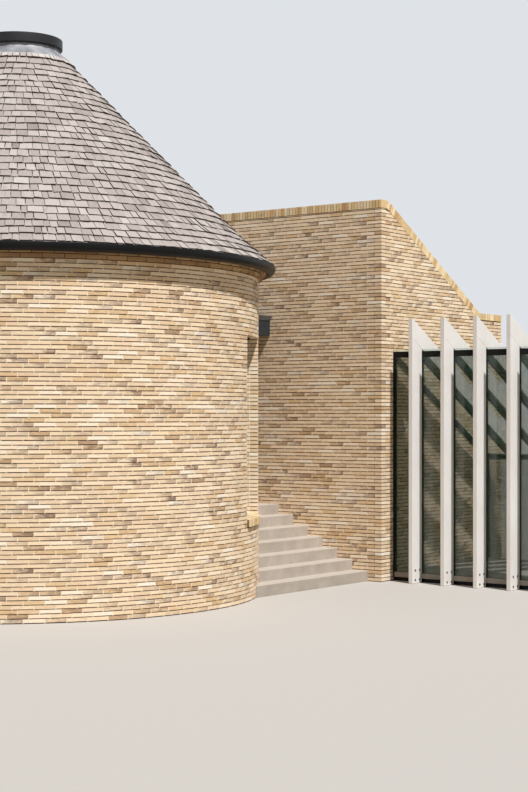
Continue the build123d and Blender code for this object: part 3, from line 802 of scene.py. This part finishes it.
def dress_porch_wall():
    """Bricks on both faces of the porch's end wall."""
    dice = np.random.default_rng(SEED + 3)
    low_corner, high_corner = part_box("porch_end_wall")
    layers = []
    for x, way in ((low_corner.x, -1), (high_corner.x, 1)):
        place = flat_face((x, 0, 0), (0, way, 0))
        drum_edge = (DRUM_RADIUS ** 2 - x ** 2) ** 0.5 - PORCH_WALL_GAP
        start, end = sorted((way * drum_edge, way * BLOCK_FRONT))
        for course in range(int(high_corner.z / COURSE)):
            lefts, rights, uprights = course_bricks(start, end, course, phase=PORCH_WALL_PHASE)
            layers += lay_course(place, lefts, rights, uprights, course * COURSE, dice, PORCH_BRICK_DEPTH)

    def raked(points):
        shift_at(points, 0, low_corner.x, RAKE_DEPTH)
        shift_at(points, 0, high_corner.x, -RAKE_DEPTH)
        return points

    finish_bricks(wall_core("porch_end_wall", raked), "porch_end_wall", layers)


# Copings and sill, in bricks on edge
COPING_RECESS = 0.008
COPING_DEPTHS = ((-BRICK_LENGTH, 0.0), (-BRICK_LENGTH - JOINT - BRICK_DEPTH, -BRICK_LENGTH - JOINT))
# Bricks on edge vary more in tone than the wall's, and are less smoked
EDGE_TONE_GAIN, EDGE_TONE_DROP, EDGE_SMOKE = 1.3, 0.2, 0.5
# A box's two top corners, at its back and at its front
BACK_TOP, FRONT_TOP = slice(2, 4), slice(6, 8)
SILL_FALL = 0.014
SILL_RECESS = 0.003


def edge_bricks(place, start, end, height, depths, dice, lean=(0.0, 0.0), bed=0.0):
    """Layers of bricks on edge between two places on a face: one for each depth range. The two end
    bricks are cut to a mitre, by how far each leans along the run at its top. They start at bed."""
    count = max(1, round((end - start) / COURSE))
    pitch = (end - start) / count
    lefts = start + pitch * np.arange(count) + JOINT / 2
    layers = []
    for back, front in depths:
        tones, smoke = brick_marks(count, dice)
        quads = rectangles(lefts, lefts + pitch - JOINT, bed, height + dice.uniform(-FACE_WANDER, 0, count))
        quads[0, 3, 0] += lean[0]
        quads[-1, 2, 0] += lean[1]
        faces = front - dice.uniform(0, FACE_WANDER, (count, 1))
        tones = np.clip(tones * EDGE_TONE_GAIN - EDGE_TONE_DROP, 0, 1)
        layers.append((boxes(place, quads, back, faces), BRICK, tones, smoke * EDGE_SMOKE))
    return layers


def finish_coping(node, layers):
    """Joins bricks on edge to the mortar between them, a little inside the coping's outline."""
    core = node_copy(node, "bricks_of_" + node)
    points = mesh_points(core)
    for axis, low, high in ((0, BLOCK_LEFT, BLOCK_RIGHT), (1, BLOCK_FRONT, BLOCK_BACK)):
        shift_at(points, axis, low, COPING_RECESS)
        shift_at(points, axis, high, -COPING_RECESS)
    points[:, 2] -= COPING_RECESS
    set_points(core, points)
    set_materials(core, *COPING_MATERIALS)
    finish_bricks(core, node, layers, COPING_MATERIALS, "coping_brick")


def dress_front_coping(dice):
    """A level row, and behind it a row that already falls with the roof."""
    front = flat_face((0, BLOCK_FRONT, FRONT_WALL_TOP), (1, 0, 0))
    seat = BLOCK_FRONT - RAKE_HEAD
    level = edge_bricks(front, BLOCK_LEFT, BLOCK_RIGHT, COPING_HEIGHT, ((seat + JOINT / 2, 0.0),), dice,
                        bed=-COPING_SINK)
    level[0][0][:, BACK_TOP, 1] += MITRE
    falling = edge_bricks(front, BLOCK_LEFT, BLOCK_RIGHT, COPING_HEIGHT / cos(RAKE_ANGLE),
                          ((-WALL_THICKNESS, seat - JOINT / 2),), dice)
    points = falling[0][0]
    points[:, FRONT_TOP, 1] += MITRE
    points[..., 2] -= (points[..., 1] - RAKE_HEAD) * RAKE_SLOPE
    finish_coping("front_coping", level + falling)


def dress_back_coping(dice):
    """A level row along the back wall."""
    back = flat_face((0, BLOCK_BACK, BACK_WALL_TOP), (-1, 0, 0))
    finish_coping("back_coping", edge_bricks(back, -BLOCK_RIGHT, -BLOCK_LEFT, COPING_HEIGHT, COPING_DEPTHS,
                                             dice, bed=LEVEL_BED))


def dress_rake_copings(dice):
    """Rows down the rakes, with their level tails."""
    layers = []
    for x, way in ((BLOCK_RIGHT, 1), (BLOCK_LEFT, -1)):
        along = (0, way * cos(RAKE_ANGLE), -way * sin(RAKE_ANGLE))
        up = (0, sin(RAKE_ANGLE), cos(RAKE_ANGLE))
        origin = (x, RAKE_HEAD, FRONT_WALL_TOP) if way > 0 else (x, RAKE_FOOT, BACK_WALL_TOP)
        layers += edge_bricks(flat_face(origin, along, up), 0.0, RAKE_RUN / cos(RAKE_ANGLE), COPING_HEIGHT,
                              COPING_DEPTHS, dice, lean=(-way * MITRE, -way * MITRE), bed=-COPING_SINK)
        level = flat_face((x, 0, BACK_WALL_TOP), (0, way, 0))
        run = sorted((way * RAKE_FOOT, way * (BLOCK_BACK - WALL_THICKNESS)))
        layers += edge_bricks(level, run[0], run[1], COPING_HEIGHT, COPING_DEPTHS, dice,
                              lean=(MITRE, 0.0) if way > 0 else (0.0, -MITRE), bed=LEVEL_BED)
    finish_coping("rake_copings", layers)


def dress_sill():
    """Sill of bricks on edge with a weathered slope."""
    low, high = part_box("window_sill")
    core = node_copy("window_sill", "bricks_of_window_sill")
    inner = mesh_points(core)
    reach = polar(inner)[0]
    nose = float(reach.max())
    layers = edge_bricks(round_face(nose), radians(WINDOW_START) * nose, radians(WINDOW_END) * nose,
                         high.z - low.z - SILL_FALL, ((DRUM_RADIUS - nose - LINING_DEPTH, 0),),
                         np.random.default_rng(SEED + 5))
    layers[0][0][..., 2] += low.z
    layers[0][0][:, BACK_TOP, 2] += SILL_FALL
    inner[reach > nose - 3 * SILL_RECESS, :2] *= (nose - SILL_RECESS) / nose
    inner[inner[:, 2] > low.z + COURSE, 2] -= SILL_RECESS + NEAR
    set_points(core, inner)
    set_materials(core, *COPING_MATERIALS)
    finish_bricks(core, "window_sill", layers, COPING_MATERIALS, "coping_brick")


# Roof
# Each course shows a little less than the one below it, from 133 mm at the eaves
EXPOSURES = np.linspace(0.1330, 0.1238, 28)
SHINGLE_LENGTH = 0.205
STARTER_LENGTH = 0.6 * SHINGLE_LENGTH
# Widths range widely, but three in ten are of the common sizes
SHINGLE_WIDTHS, COMMON_WIDTHS, COMMON_SHARE = (0.065, 0.190), (0.09, 0.14), 0.3
# Some of the gaps have opened wide, and the rest stay tight
WIDE_GAPS, TIGHT_GAPS, WIDE_SHARE = (0.008, 0.014), (0.004, 0.007), 0.45
BUTT_THICKNESS = (0.014, 0.023)
BUTT_LINE = -0.004
HEAD_THICKNESS, HEAD_GAP = 0.004, 0.002
SHINGLE_SEAT = 0.010
DECK_DROP = 0.030
# How far shingles stray: up the slope, out of square at the butt, and by cupping
BUTT_WANDER, SKEW, CUP = 0.004, 0.0025, 0.003
SHINGLE_TONE, CROWN_TONE, SHINGLE_SPREAD = 0.5, 0.85, 0.11
DARK_SHARE, DARKENED = 0.07, 0.6
# Each shingle is cut from its own place in this many metres of grain
GRAIN_REACH = 9
# Short narrow shingles close the top, over the edge of the lead
CROWN_WIDTHS = (0.055, 0.095)
CROWN_REACH = 0.013
CROWN_TOP = 0.041
CROWN_PACKING = 0.010
ROOF_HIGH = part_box("drum_roof")[1]
EAVES_RADIUS = ROOF_HIGH.x
EAVES_DEPTH = 0.082
EAVES_TOP = CORBEL_TOP + EAVES_DEPTH
SPROCKET_RUN = 0.415
SPROCKET_ANGLE = radians(41.0)
ROOF_TOP_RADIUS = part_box("rooflight_apron")[1].x
SPROCKET_RADIUS = EAVES_RADIUS - SPROCKET_RUN
SPROCKET_TOP = EAVES_TOP + SPROCKET_RUN * tan(SPROCKET_ANGLE)
MAIN_ANGLE = atan2(ROOF_HIGH.z - SPROCKET_TOP, SPROCKET_RADIUS - ROOF_TOP_RADIUS)
SPROCKET_LENGTH = SPROCKET_RUN / cos(SPROCKET_ANGLE)
ROOF_LENGTH = SPROCKET_LENGTH + (SPROCKET_RADIUS - ROOF_TOP_RADIUS) / cos(MAIN_ANGLE)


def on_roof(angle, lift, up_slope):
    """Places points of the cone: an angle, a height off its deck, and a distance up the slope."""
    low = up_slope < SPROCKET_LENGTH
    pitch = np.where(low, SPROCKET_ANGLE, MAIN_ANGLE)
    along = np.where(low, up_slope, up_slope - SPROCKET_LENGTH)
    radius = np.where(low, EAVES_RADIUS, SPROCKET_RADIUS) - along * np.cos(pitch)
    height = np.where(low, EAVES_TOP, SPROCKET_TOP) + along * np.sin(pitch)
    radius = radius + (lift - DECK_DROP) * np.sin(pitch)
    height = height + (lift - DECK_DROP) * np.cos(pitch)
    return np.stack([radius * np.cos(angle), radius * np.sin(angle), height], axis=-1)


def shingle_widths(around, crown, dice):
    """Widths of a course's shingles, which close its ring."""
    widths = []
    while sum(widths) < around:
        usual = CROWN_WIDTHS if crown else COMMON_WIDTHS if dice.random() < COMMON_SHARE else SHINGLE_WIDTHS
        widths.append(dice.uniform(*usual))
    return np.array(widths) * around / sum(widths)


def shingle_course(course, last, butt_line, dice):
    """One course's layer of wedges, and where the grain lies on each of their corners."""
    starter, crown = course == 0, course == last
    radius = hypot(*on_roof(np.array(0.0), np.array(DECK_DROP), np.array(max(butt_line, 0.0)))[:2])
    widths = shingle_widths(2 * pi * radius, crown, dice)
    ends = np.concatenate([[0], np.cumsum(widths)]) + dice.uniform(0, 1)
    count = len(widths)
    gap = np.where(dice.random(count) < WIDE_SHARE, dice.uniform(*WIDE_GAPS, count),
                   dice.uniform(*TIGHT_GAPS, count))
    lefts, rights = (ends[:-1] + gap / 2) / radius, (ends[1:] - gap / 2) / radius
    butts = butt_line + dice.normal(0, BUTT_WANDER, count)
    heads = np.minimum(butts + (STARTER_LENGTH if starter else SHINGLE_LENGTH), ROOF_LENGTH - HEAD_GAP)
    if crown:
        heads = ROOF_LENGTH + CROWN_REACH + dice.uniform(-BUTT_WANDER, BUTT_WANDER, count)
    quads = rectangles(lefts, rights, butts, heads)
    skew = dice.normal(0, SKEW, count)
    quads[:, 0, 1] += skew
    quads[:, 1, 1] -= skew
    thick = dice.uniform(*BUTT_THICKNESS, count)
    cup = dice.normal(0, CUP, count)
    under = np.stack([np.full(count, 0.0 if starter else SHINGLE_SEAT)] * 2 + [np.zeros(count)] * 2, -1)
    over = under + np.stack([thick - cup, thick + cup] + [np.full(count, HEAD_THICKNESS)] * 2, -1)
    if crown:
        over = CROWN_TOP + np.stack([cup, -cup, cup, -cup], -1) / 2
    # The last full course is packed up to carry the crown
    if course == last - 1:
        over[:, 2:] += CROWN_PACKING
    tones = np.clip(dice.normal(CROWN_TONE if crown else SHINGLE_TONE, SHINGLE_SPREAD, count), 0, 1)
    tones = np.where(dice.random(count) < DARK_SHARE, tones * DARKENED, tones)
    corner = np.concatenate([quads, quads], axis=1)
    across = corner[..., 0] * radius + dice.uniform(0, GRAIN_REACH, (count, 1))
    up = corner[..., 1] + dice.uniform(0, GRAIN_REACH, (count, 1))
    return (boxes(on_roof, quads, under, over), 0, tones, 0.0), np.stack([across, up], -1)


def dress_roof():
    """Courses of shingles over the cone, each a wedge with its own width, butt line and tone."""
    dice = np.random.default_rng(SEED + 6)
    butt_lines = np.concatenate([[0, 0], np.cumsum(EXPOSURES)]) + BUTT_LINE
    courses = [shingle_course(course, len(butt_lines) - 1, butt_line, dice)
               for course, butt_line in enumerate(butt_lines)]
    piece = joined_boxes("roof_shingles", [layer for layer, _ in courses], (shingle, shingle_edge_shade))
    # Painted shade: butts and side edges are painted dark, for the shade under and between the shingles
    edges = np.tile((0, 0, 1, 1, 0, 1), len(piece.data.polygons) // 6)
    piece.data.polygons.foreach_set("material_index", edges.astype(np.int32))
    lay = piece.data.uv_layers.new(name="lay")
    corners = np.concatenate([places for _, places in courses]).reshape(-1, 2)
    order = np.zeros(len(piece.data.loops), np.int32)
    piece.data.loops.foreach_get("vertex_index", order)
    lay.data.foreach_set("uv", corners[order].astype(np.float32).ravel())
    finish_piece(piece, "shingle")


# The deck's top is sunk under every shingle, and its eaves are drawn in a little
DECK_SINK, EAVES_SHRINK, DECK_NEAR = 1.4 * DECK_DROP, 0.99, 0.01


def lower_deck():
    """The roof's shell in sawn boards, lowered so that the shingles lie in its place."""
    deck = node_copy("drum_roof", "roof_deck")
    points = mesh_points(deck)
    radius = polar(points)[0]
    outer = (points[:, 2] > EAVES_TOP - 2 * DECK_NEAR) & (radius > ROOF_TOP_RADIUS - DECK_NEAR)
    points[outer, 2] -= DECK_SINK
    points[outer & (radius > EAVES_RADIUS - DECK_NEAR), :2] *= EAVES_SHRINK
    set_points(deck, points)
    # The boards' dark colour is painted shade, seen in the gaps between shingles
    set_materials(deck, deck_gap_shade_timber)
    finish_piece(deck, "shingle", "drum_roof")


TURNED_STEPS = 144
# Edges that turn by fewer degrees than this look smooth; the soft lead takes more
SMOOTH_UNDER, LEAD_SMOOTH_UNDER = 35, 45


def turned(name, profile, material, smooth_angle=SMOOTH_UNDER):
    """A closed ring turned from a profile of (radius, height) points round the round room's axis."""
    bpy.ops.object.select_all(action="DESELECT")
    bpy.ops.mesh.primitive_circle_add(vertices=len(profile), fill_type="NGON")
    ring = bpy.context.object
    ring.name = name
    ring.data.name = name
    for vertex, (radius, height) in zip(ring.data.vertices, profile):
        vertex.co = (radius, 0, height)
    bpy.ops.object.mode_set(mode="EDIT")
    bpy.ops.mesh.select_all(action="SELECT")
    bpy.ops.mesh.delete(type="ONLY_FACE")
    bpy.ops.mesh.select_all(action="SELECT")
    bpy.ops.mesh.spin(steps=TURNED_STEPS, angle=2 * pi, center=(0, 0, 0), axis=(0, 0, 1))
    bpy.ops.mesh.select_all(action="SELECT")
    bpy.ops.mesh.remove_doubles(threshold=WELD)
    bpy.ops.mesh.normals_make_consistent(inside=False)
    bpy.ops.object.mode_set(mode="OBJECT")
    ring.data.materials.append(material)
    choose_only(ring)
    bpy.ops.object.shade_smooth_by_angle(angle=radians(smooth_angle))
    return ring


def arc(centre, radius, start, end, steps):
    """Points of an arc in a profile, from one angle in degrees to another."""
    angles = np.radians(np.linspace(start, end, steps))
    return [(centre[0] + radius * cos(a), centre[1] + radius * sin(a)) for a in angles]


GUTTER_GAP, GUTTER_LIFT = 0.016, 0.012
GUTTER_BEND, GUTTER_BEAD, GUTTER_SHEET = 0.066, 0.007, 0.004


def make_gutter():
    """Deep rolled gutter just clear of the corbel, with a bead along its lip and a round lower edge."""
    low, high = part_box("drum_gutter")
    lip, back, bottom, rim = high.x, CORBEL_RADIUS + GUTTER_GAP, low.z + GUTTER_LIFT, high.z
    trough = (lip - GUTTER_BEND, bottom + GUTTER_BEND)
    profile = [(back, bottom)] + arc(trough, GUTTER_BEND, -90, 0, 8)
    profile += arc((lip - GUTTER_BEAD, rim - GUTTER_BEAD), GUTTER_BEAD, 0, 180, 7)
    profile += [(lip - 2 * GUTTER_BEAD, bottom + GUTTER_BEND)]
    profile += arc(trough, GUTTER_BEND - GUTTER_SHEET * 3, 0, -90, 6)
    profile += [(back + GUTTER_SHEET, bottom + GUTTER_SHEET * 3), (back + GUTTER_SHEET, rim), (back, rim)]
    finish_piece(turned("rolled_gutter", profile, black_metal), "gutter_metal", "drum_gutter")


ROOFLIGHT_BORE = 0.450
# The curb's glass lies in a ledge that clears it all round
LEDGE_GAP = 0.0003
CURB_EDGE, CURB_GROOVE, CURB_CHAMFER = 0.008, 0.015, 0.002
# The lead lies on the cone up to its shoulder and then stands up inside the curb
LEAD_SHOULDER, LEAD_TOP_RADIUS = 0.531, 0.502
LEAD_LAP, LEAD_RISE, LEAD_FOLD = 0.016, 0.116, 0.004
LEAD_COLLAR = (0.008, 0.018)
LEAD_STEPS = (0.35, 0.7)
# Waves in the lead, each its depth, its number round the ring and its start, and how far in they lie
LEAD_WAVES, LEAD_WAVES_IN = ((0.0025, 11, 0.0), (0.002, 23, 1.3)), 0.003


def make_curb():
    """Curb with a rounded top edge, and a drip edge over the lead."""
    low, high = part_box("rooflight_curb")
    glass_low, glass_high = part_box("rooflight_glass")
    radius, ledge = high.x, glass_high.x + LEDGE_GAP
    lip = low.z + CURB_GROOVE
    profile = [(ROOFLIGHT_BORE, low.z), (radius - CURB_GROOVE, low.z), (radius - CURB_GROOVE, lip),
               (radius - CURB_CHAMFER, lip), (radius, lip + CURB_CHAMFER)]
    profile += arc((radius - CURB_EDGE, high.z - CURB_EDGE), CURB_EDGE, 0, 90, 5)
    profile += [(ledge, high.z), (ledge, glass_low.z), (ROOFLIGHT_BORE, glass_low.z)]
    finish_piece(turned("rooflight_curb_ring", profile, curb_metal), "dark_metal", "rooflight_curb")


def make_apron():
    """Lead apron, dressed over the cone by hand and so a little wavy."""
    low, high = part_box("rooflight_apron")
    lap, shoulder = low.z + LEAD_LAP, low.z + LEAD_RISE
    outline = [(ROOFLIGHT_BORE, low.z), (ROOF_TOP_RADIUS, low.z), (ROOF_TOP_RADIUS, lap - LEAD_FOLD),
               (ROOF_TOP_RADIUS - LEAD_FOLD, lap)]
    outline += [(ROOF_TOP_RADIUS + (LEAD_SHOULDER - ROOF_TOP_RADIUS) * t, lap + (shoulder - lap) * t)
                for t in LEAD_STEPS]
    outline += [(LEAD_SHOULDER, shoulder - LEAD_FOLD),
                (LEAD_TOP_RADIUS + LEAD_COLLAR[0], shoulder + LEAD_COLLAR[1]),
                (LEAD_TOP_RADIUS, high.z), (ROOFLIGHT_BORE, high.z)]
    apron = turned("lead_apron", outline, lead, LEAD_SMOOTH_UNDER)
    points = mesh_points(apron)
    reach, angle = polar(points)
    body = (reach > LEAD_TOP_RADIUS + 2 * NEAR) & (reach < ROOF_TOP_RADIUS - 5 * NEAR)
    wave = sum(deep * np.sin(times * angle + turn) for deep, times, turn in LEAD_WAVES) - LEAD_WAVES_IN
    points[body, :2] *= (1 + wave[body] / reach[body])[:, None]
    set_points(apron, points)
    finish_piece(apron, "lead", "rooflight_apron")


# Glazed link
BLADE_XS = sorted({round(float(v.co.x), 4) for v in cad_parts["link_posts"].data.vertices})
BLADES = list(zip(BLADE_XS[::2], BLADE_XS[1::2]))
POST_LOW, POST_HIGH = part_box("link_posts")
RAFTER_LOW, RAFTER_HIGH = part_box("link_rafters")
ARRIS = 0.0035
# What is left on a post or rafter for its sloping cut to take off
CUT_WASTE = 0.5


def plank(low, high):
    """A cube primitive at its size and place."""
    bpy.ops.object.select_all(action="DESELECT")
    bpy.ops.mesh.primitive_cube_add(size=1, location=[(a + b) / 2 for a, b in zip(low, high)])
    piece = bpy.context.object
    piece.scale = [b - a for a, b in zip(low, high)]
    bpy.ops.object.transform_apply(location=True, rotation=True, scale=True)
    return piece


def cut_away(piece, point, direction):
    """Cuts off what lies past a plane, on the side that its direction points to."""
    choose_only(piece)
    bpy.ops.object.mode_set(mode="EDIT")
    bpy.ops.mesh.select_all(action="SELECT")
    bpy.ops.mesh.bisect(plane_co=point, plane_no=direction, use_fill=True, clear_outer=True)
    bpy.ops.object.mode_set(mode="OBJECT")


def eased(piece, width, material):
    """Takes the sharp edges off a piece and gives it its material."""
    choose_only(piece)
    bevel = piece.modifiers.new("eased_edges", "BEVEL")
    bevel.width = width
    bevel.segments = 2
    bevel.limit_method = "ANGLE"
    bpy.ops.object.modifier_apply(modifier=bevel.name)
    set_materials(piece, material)
    return piece


def blade_top(y):
    """Height of a blade's sloping top at a distance back."""
    return RAFTER_HIGH.z - (y - RAFTER_LOW.y) * RAKE_SLOPE


def make_blades():
    """Posts cut to the slope, with rafters lying on the cut, all with eased edges."""
    seat_drop = blade_top(POST_LOW.y) - POST_HIGH.z
    normal_up, normal_down = (0, RAKE_SLOPE, 1), (0, -RAKE_SLOPE, -1)
    head = blade_top(RAFTER_LOW.y)
    posts, rafters = [], []
    for left, right in BLADES:
        post = plank((left, POST_LOW.y, POST_LOW.z), (right, POST_HIGH.y, POST_HIGH.z + CUT_WASTE))
        cut_away(post, (0, POST_LOW.y, POST_HIGH.z), normal_up)
        posts.append(eased(post, ARRIS, timber))
        rafter = plank((left, RAFTER_LOW.y, RAFTER_LOW.z - CUT_WASTE), (right, RAFTER_HIGH.y, RAFTER_HIGH.z))
        cut_away(rafter, (0, RAFTER_LOW.y, head), normal_up)
        cut_away(rafter, (0, RAFTER_LOW.y, head - seat_drop), normal_down)
        rafters.append(eased(rafter, ARRIS, timber))
    finish_piece(joined(posts, "blade_posts"), "pale_timber", "link_posts")
    finish_piece(joined(rafters, "blade_rafters"), "pale_timber", "link_rafters")


# Bolts: how far back and how high they are, and the radius, depth and sides of their washer and head
BOLT_BACKS, BOLT_HEIGHTS = (0.075, 0.185), (0.045, 0.175)
BOLT_PARTS = ((0.016, 0.002, 16), (0.011, 0.006, 6))


def make_bolts():
    """Four bolts low on each side of every post, but for the last one's outer side."""
    bolts = []
    for x, way in [(x, way) for ends in BLADES for x, way in zip(ends, (-1, 1))][:-1]:
        for back in BOLT_BACKS:
            for z in BOLT_HEIGHTS:
                for radius, out, sides in BOLT_PARTS:
                    bpy.ops.object.select_all(action="DESELECT")
                    bpy.ops.mesh.primitive_cylinder_add(vertices=sides, radius=radius, depth=out,
                                                        location=(x + way * out / 2, POST_LOW.y + back, z),
                                                        rotation=(0, pi / 2, 0))
                    bpy.ops.object.transform_apply(location=True, rotation=True, scale=True)
                    set_materials(bpy.context.object, bolt_steel)
                    bolts.append(bpy.context.object)
    finish_piece(joined(bolts, "blade_bolts"), "dark_metal")


WALL_BAR_EDGE = BLOCK_RIGHT + 0.050
WALL_BAR_TRIM, WALL_BAR_NEAR = 0.025, 0.006
ROOF_BAR_DEPTH = 0.085
ROOF_BAR_TRIM = 0.045
TOE_SHEET = 0.003
SILL_COVER_REACH, SILL_COVER_GAP = 0.012, 0.002
TOE_ARRIS, COVER_ARRIS = 0.001, 0.002


def trim_wall_bar(node, name, slot, material):
    """A node's copy in which the bar against the block's wall is slim, and the glass meets it."""
    copy = node_copy(node, name)
    points = mesh_points(copy)
    points[np.abs(points[:, 0] - WALL_BAR_EDGE) < WALL_BAR_NEAR, 0] -= WALL_BAR_TRIM
    set_points(copy, points)
    set_materials(copy, material)
    return finish_piece(copy, slot, node)


def make_link_frames():
    """The link's bars and glass."""
    trim_wall_bar("link_front_frame", "front_screen_bars", "gutter_metal", black_metal)
    trim_wall_bar("link_back_frame", "back_screen_bars", "gutter_metal", black_metal)
    roof_bars = trim_wall_bar("link_roof_bars", "glazed_roof_bars", "gutter_metal", black_metal)
    points = mesh_points(roof_bars)
    low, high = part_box("link_roof_bars")
    upper = high.z - RAKE_SLOPE * (points[:, 1] - low.y)
    points[points[:, 2] < upper - ROOF_BAR_DEPTH, 2] += ROOF_BAR_TRIM
    set_points(roof_bars, points)
    trim_wall_bar("link_wall_glass", "screen_panes", "glass", screen_glass)
    trim_wall_bar("link_roof_glass", "glazed_roof_panes", "glass", roof_glass)


def make_sills():
    """Black sheet on the slab's set-back toe, painted shade in the recess under the sills, and a folded metal
    cover on the front sill of each bay.
    """
    low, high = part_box("link_front_frame")
    toe_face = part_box("link_floor")[0].y
    # The black sheet is painted shade in the recess under the sill covers
    toe = plank((BLOCK_RIGHT, toe_face - TOE_SHEET, NEAR), (high.x, toe_face, low.z - NEAR))
    toe.name = "toe_sheet_painted_shade"
    finish_piece(eased(toe, TOE_ARRIS, black_metal), "dark_metal")
    front = bpy.data.objects["front_screen_bars"]
    edges = sorted({round(float(x), 4) for x in mesh_points(front)[:, 0]})
    edges = [x for x in edges if BLOCK_RIGHT < x < high.x]
    sill_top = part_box("link_wall_glass")[0].z
    covers = []
    for start, end in zip(edges[::2], edges[1::2]):
        cover = plank((start + SILL_COVER_GAP, low.y - SILL_COVER_REACH, low.z + SILL_COVER_GAP),
                      (end - SILL_COVER_GAP, low.y, sill_top))
        covers.append(eased(cover, COVER_ARRIS, sill_metal))
    finish_piece(joined(covers, "sill_covers"), "dark_metal")


PORCH_LIP_HEIGHT = 0.064


def cover_porch():
    """The porch's roof in dark sheet; the lip along its top edge is painted paler, as painted sky light on
    it.
    """
    sheet = node_copy("porch_roof", "porch_roof_sheet")
    set_materials(sheet, grey_metal, lit_lip_metal)
    lip_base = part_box("porch_roof")[1].z - PORCH_LIP_HEIGHT - 2 * NEAR
    for face in sheet.data.polygons:
        face.material_index = int(face.center.z > lip_base and face.normal.z < 0.5)
    finish_piece(sheet, "dark_metal", "porch_roof")


# Parts that keep their own shape, with their materials
KEPT = {"rooflight_glass": glass, "window_glass": glass, "window_frame": black_metal,
        "block_roof": grey_metal, "drum_floor": floor_screed, "block_floor": floor_screed,
        "link_floor": floor_screed, "landing": step_stone}
KEPT.update({node: step_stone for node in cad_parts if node.startswith("step_")})

# Camera at the photograph's place: level, looking up the steps, with a long lens
scene = bpy.context.scene
camera_data = bpy.data.cameras.new("camera")
camera_data.lens = 74.1
camera_data.sensor_width = 36.0
camera_data.shift_y = 0.0244
camera_data.clip_end = 400
camera = new_object("camera", camera_data)
camera.location = (14.90, -14.85, 2.28)
camera.rotation_euler = (radians(90), 0, radians(36.6))
scene.camera = camera

dress_drum()
dress_corbel()
dress_block()
dress_porch_wall()
coping_dice = np.random.default_rng(SEED + 4)
dress_front_coping(coping_dice)
dress_back_coping(coping_dice)
dress_rake_copings(coping_dice)
dress_sill()
dress_roof()
lower_deck()
make_gutter()
make_curb()
make_apron()
make_blades()
make_bolts()
make_link_frames()
make_sills()
cover_porch()
for node, material in KEPT.items():
    set_materials(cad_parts[node], material)

# Plain pale floor, paler to the eye than the light that it throws up on the walls
bpy.ops.object.select_all(action="DESELECT")
bpy.ops.mesh.primitive_plane_add(size=240, location=(0, 0, -0.002))
stage_floor = bpy.context.object
stage_floor.name = "stage_floor"
floor_material, floor_tree, _ = new_material("pale_matt_floor", Roughness=0.9, Specular_IOR_Level=0.1)


def as_seen(tree, bounced, seen):
    """One colour for bounced light, and another for what is seen itself or in glass and metal."""
    paths = add_node(tree, "LightPath").outputs
    mirrored = add_node(tree, "Math", {0: paths["Is Glossy Ray"], 1: paths["Is Transmission Ray"]},
                        operation="MAXIMUM")
    direct = add_node(tree, "Math", {0: paths["Is Camera Ray"], 1: mirrored}, operation="MAXIMUM")
    mixed = add_node(tree, "Mix", {"Factor": direct, 6: linear(bounced), 7: linear(seen)}, data_type="RGBA")
    return direct, mixed.outputs[2]


floor_tone = as_seen(floor_tree, "#a69d8f", "#bebab5")[1]
floor_tree.links.new(floor_tone, floor_tree.nodes["Principled BSDF"].inputs["Base Color"])
stage_floor.data.materials.append(floor_material)

# Soft studio light: a pale surround, and a high key lamp from the right of the camera
world = bpy.data.worlds.new("studio")
scene.world = world
world.use_nodes = True
backdrop = world.node_tree.nodes["Background"]
seen, tint = as_seen(world.node_tree, "#ebeae8", "#dfe3e8")
power = add_node(world.node_tree, "MapRange", {"Value": seen, "To Min": 0.34, "To Max": 1.0})
world.node_tree.links.new(tint, backdrop.inputs["Color"])
world.node_tree.links.new(power.outputs["Result"], backdrop.inputs["Strength"])

lamp_data = bpy.data.lights.new("key", "SUN")
lamp_data.energy = 4.0
lamp_data.angle = radians(1.5)
lamp_data.color = (1.0, 0.99, 0.98)
lamp = new_object("key", lamp_data)
key_from = np.array([0.56, -0.235, 0.95])
lamp.rotation_euler = (atan2(hypot(key_from[0], key_from[1]), key_from[2]), 0,
                       atan2(key_from[1], key_from[0]) + pi / 2)
scene.view_settings.view_transform = "Standard"
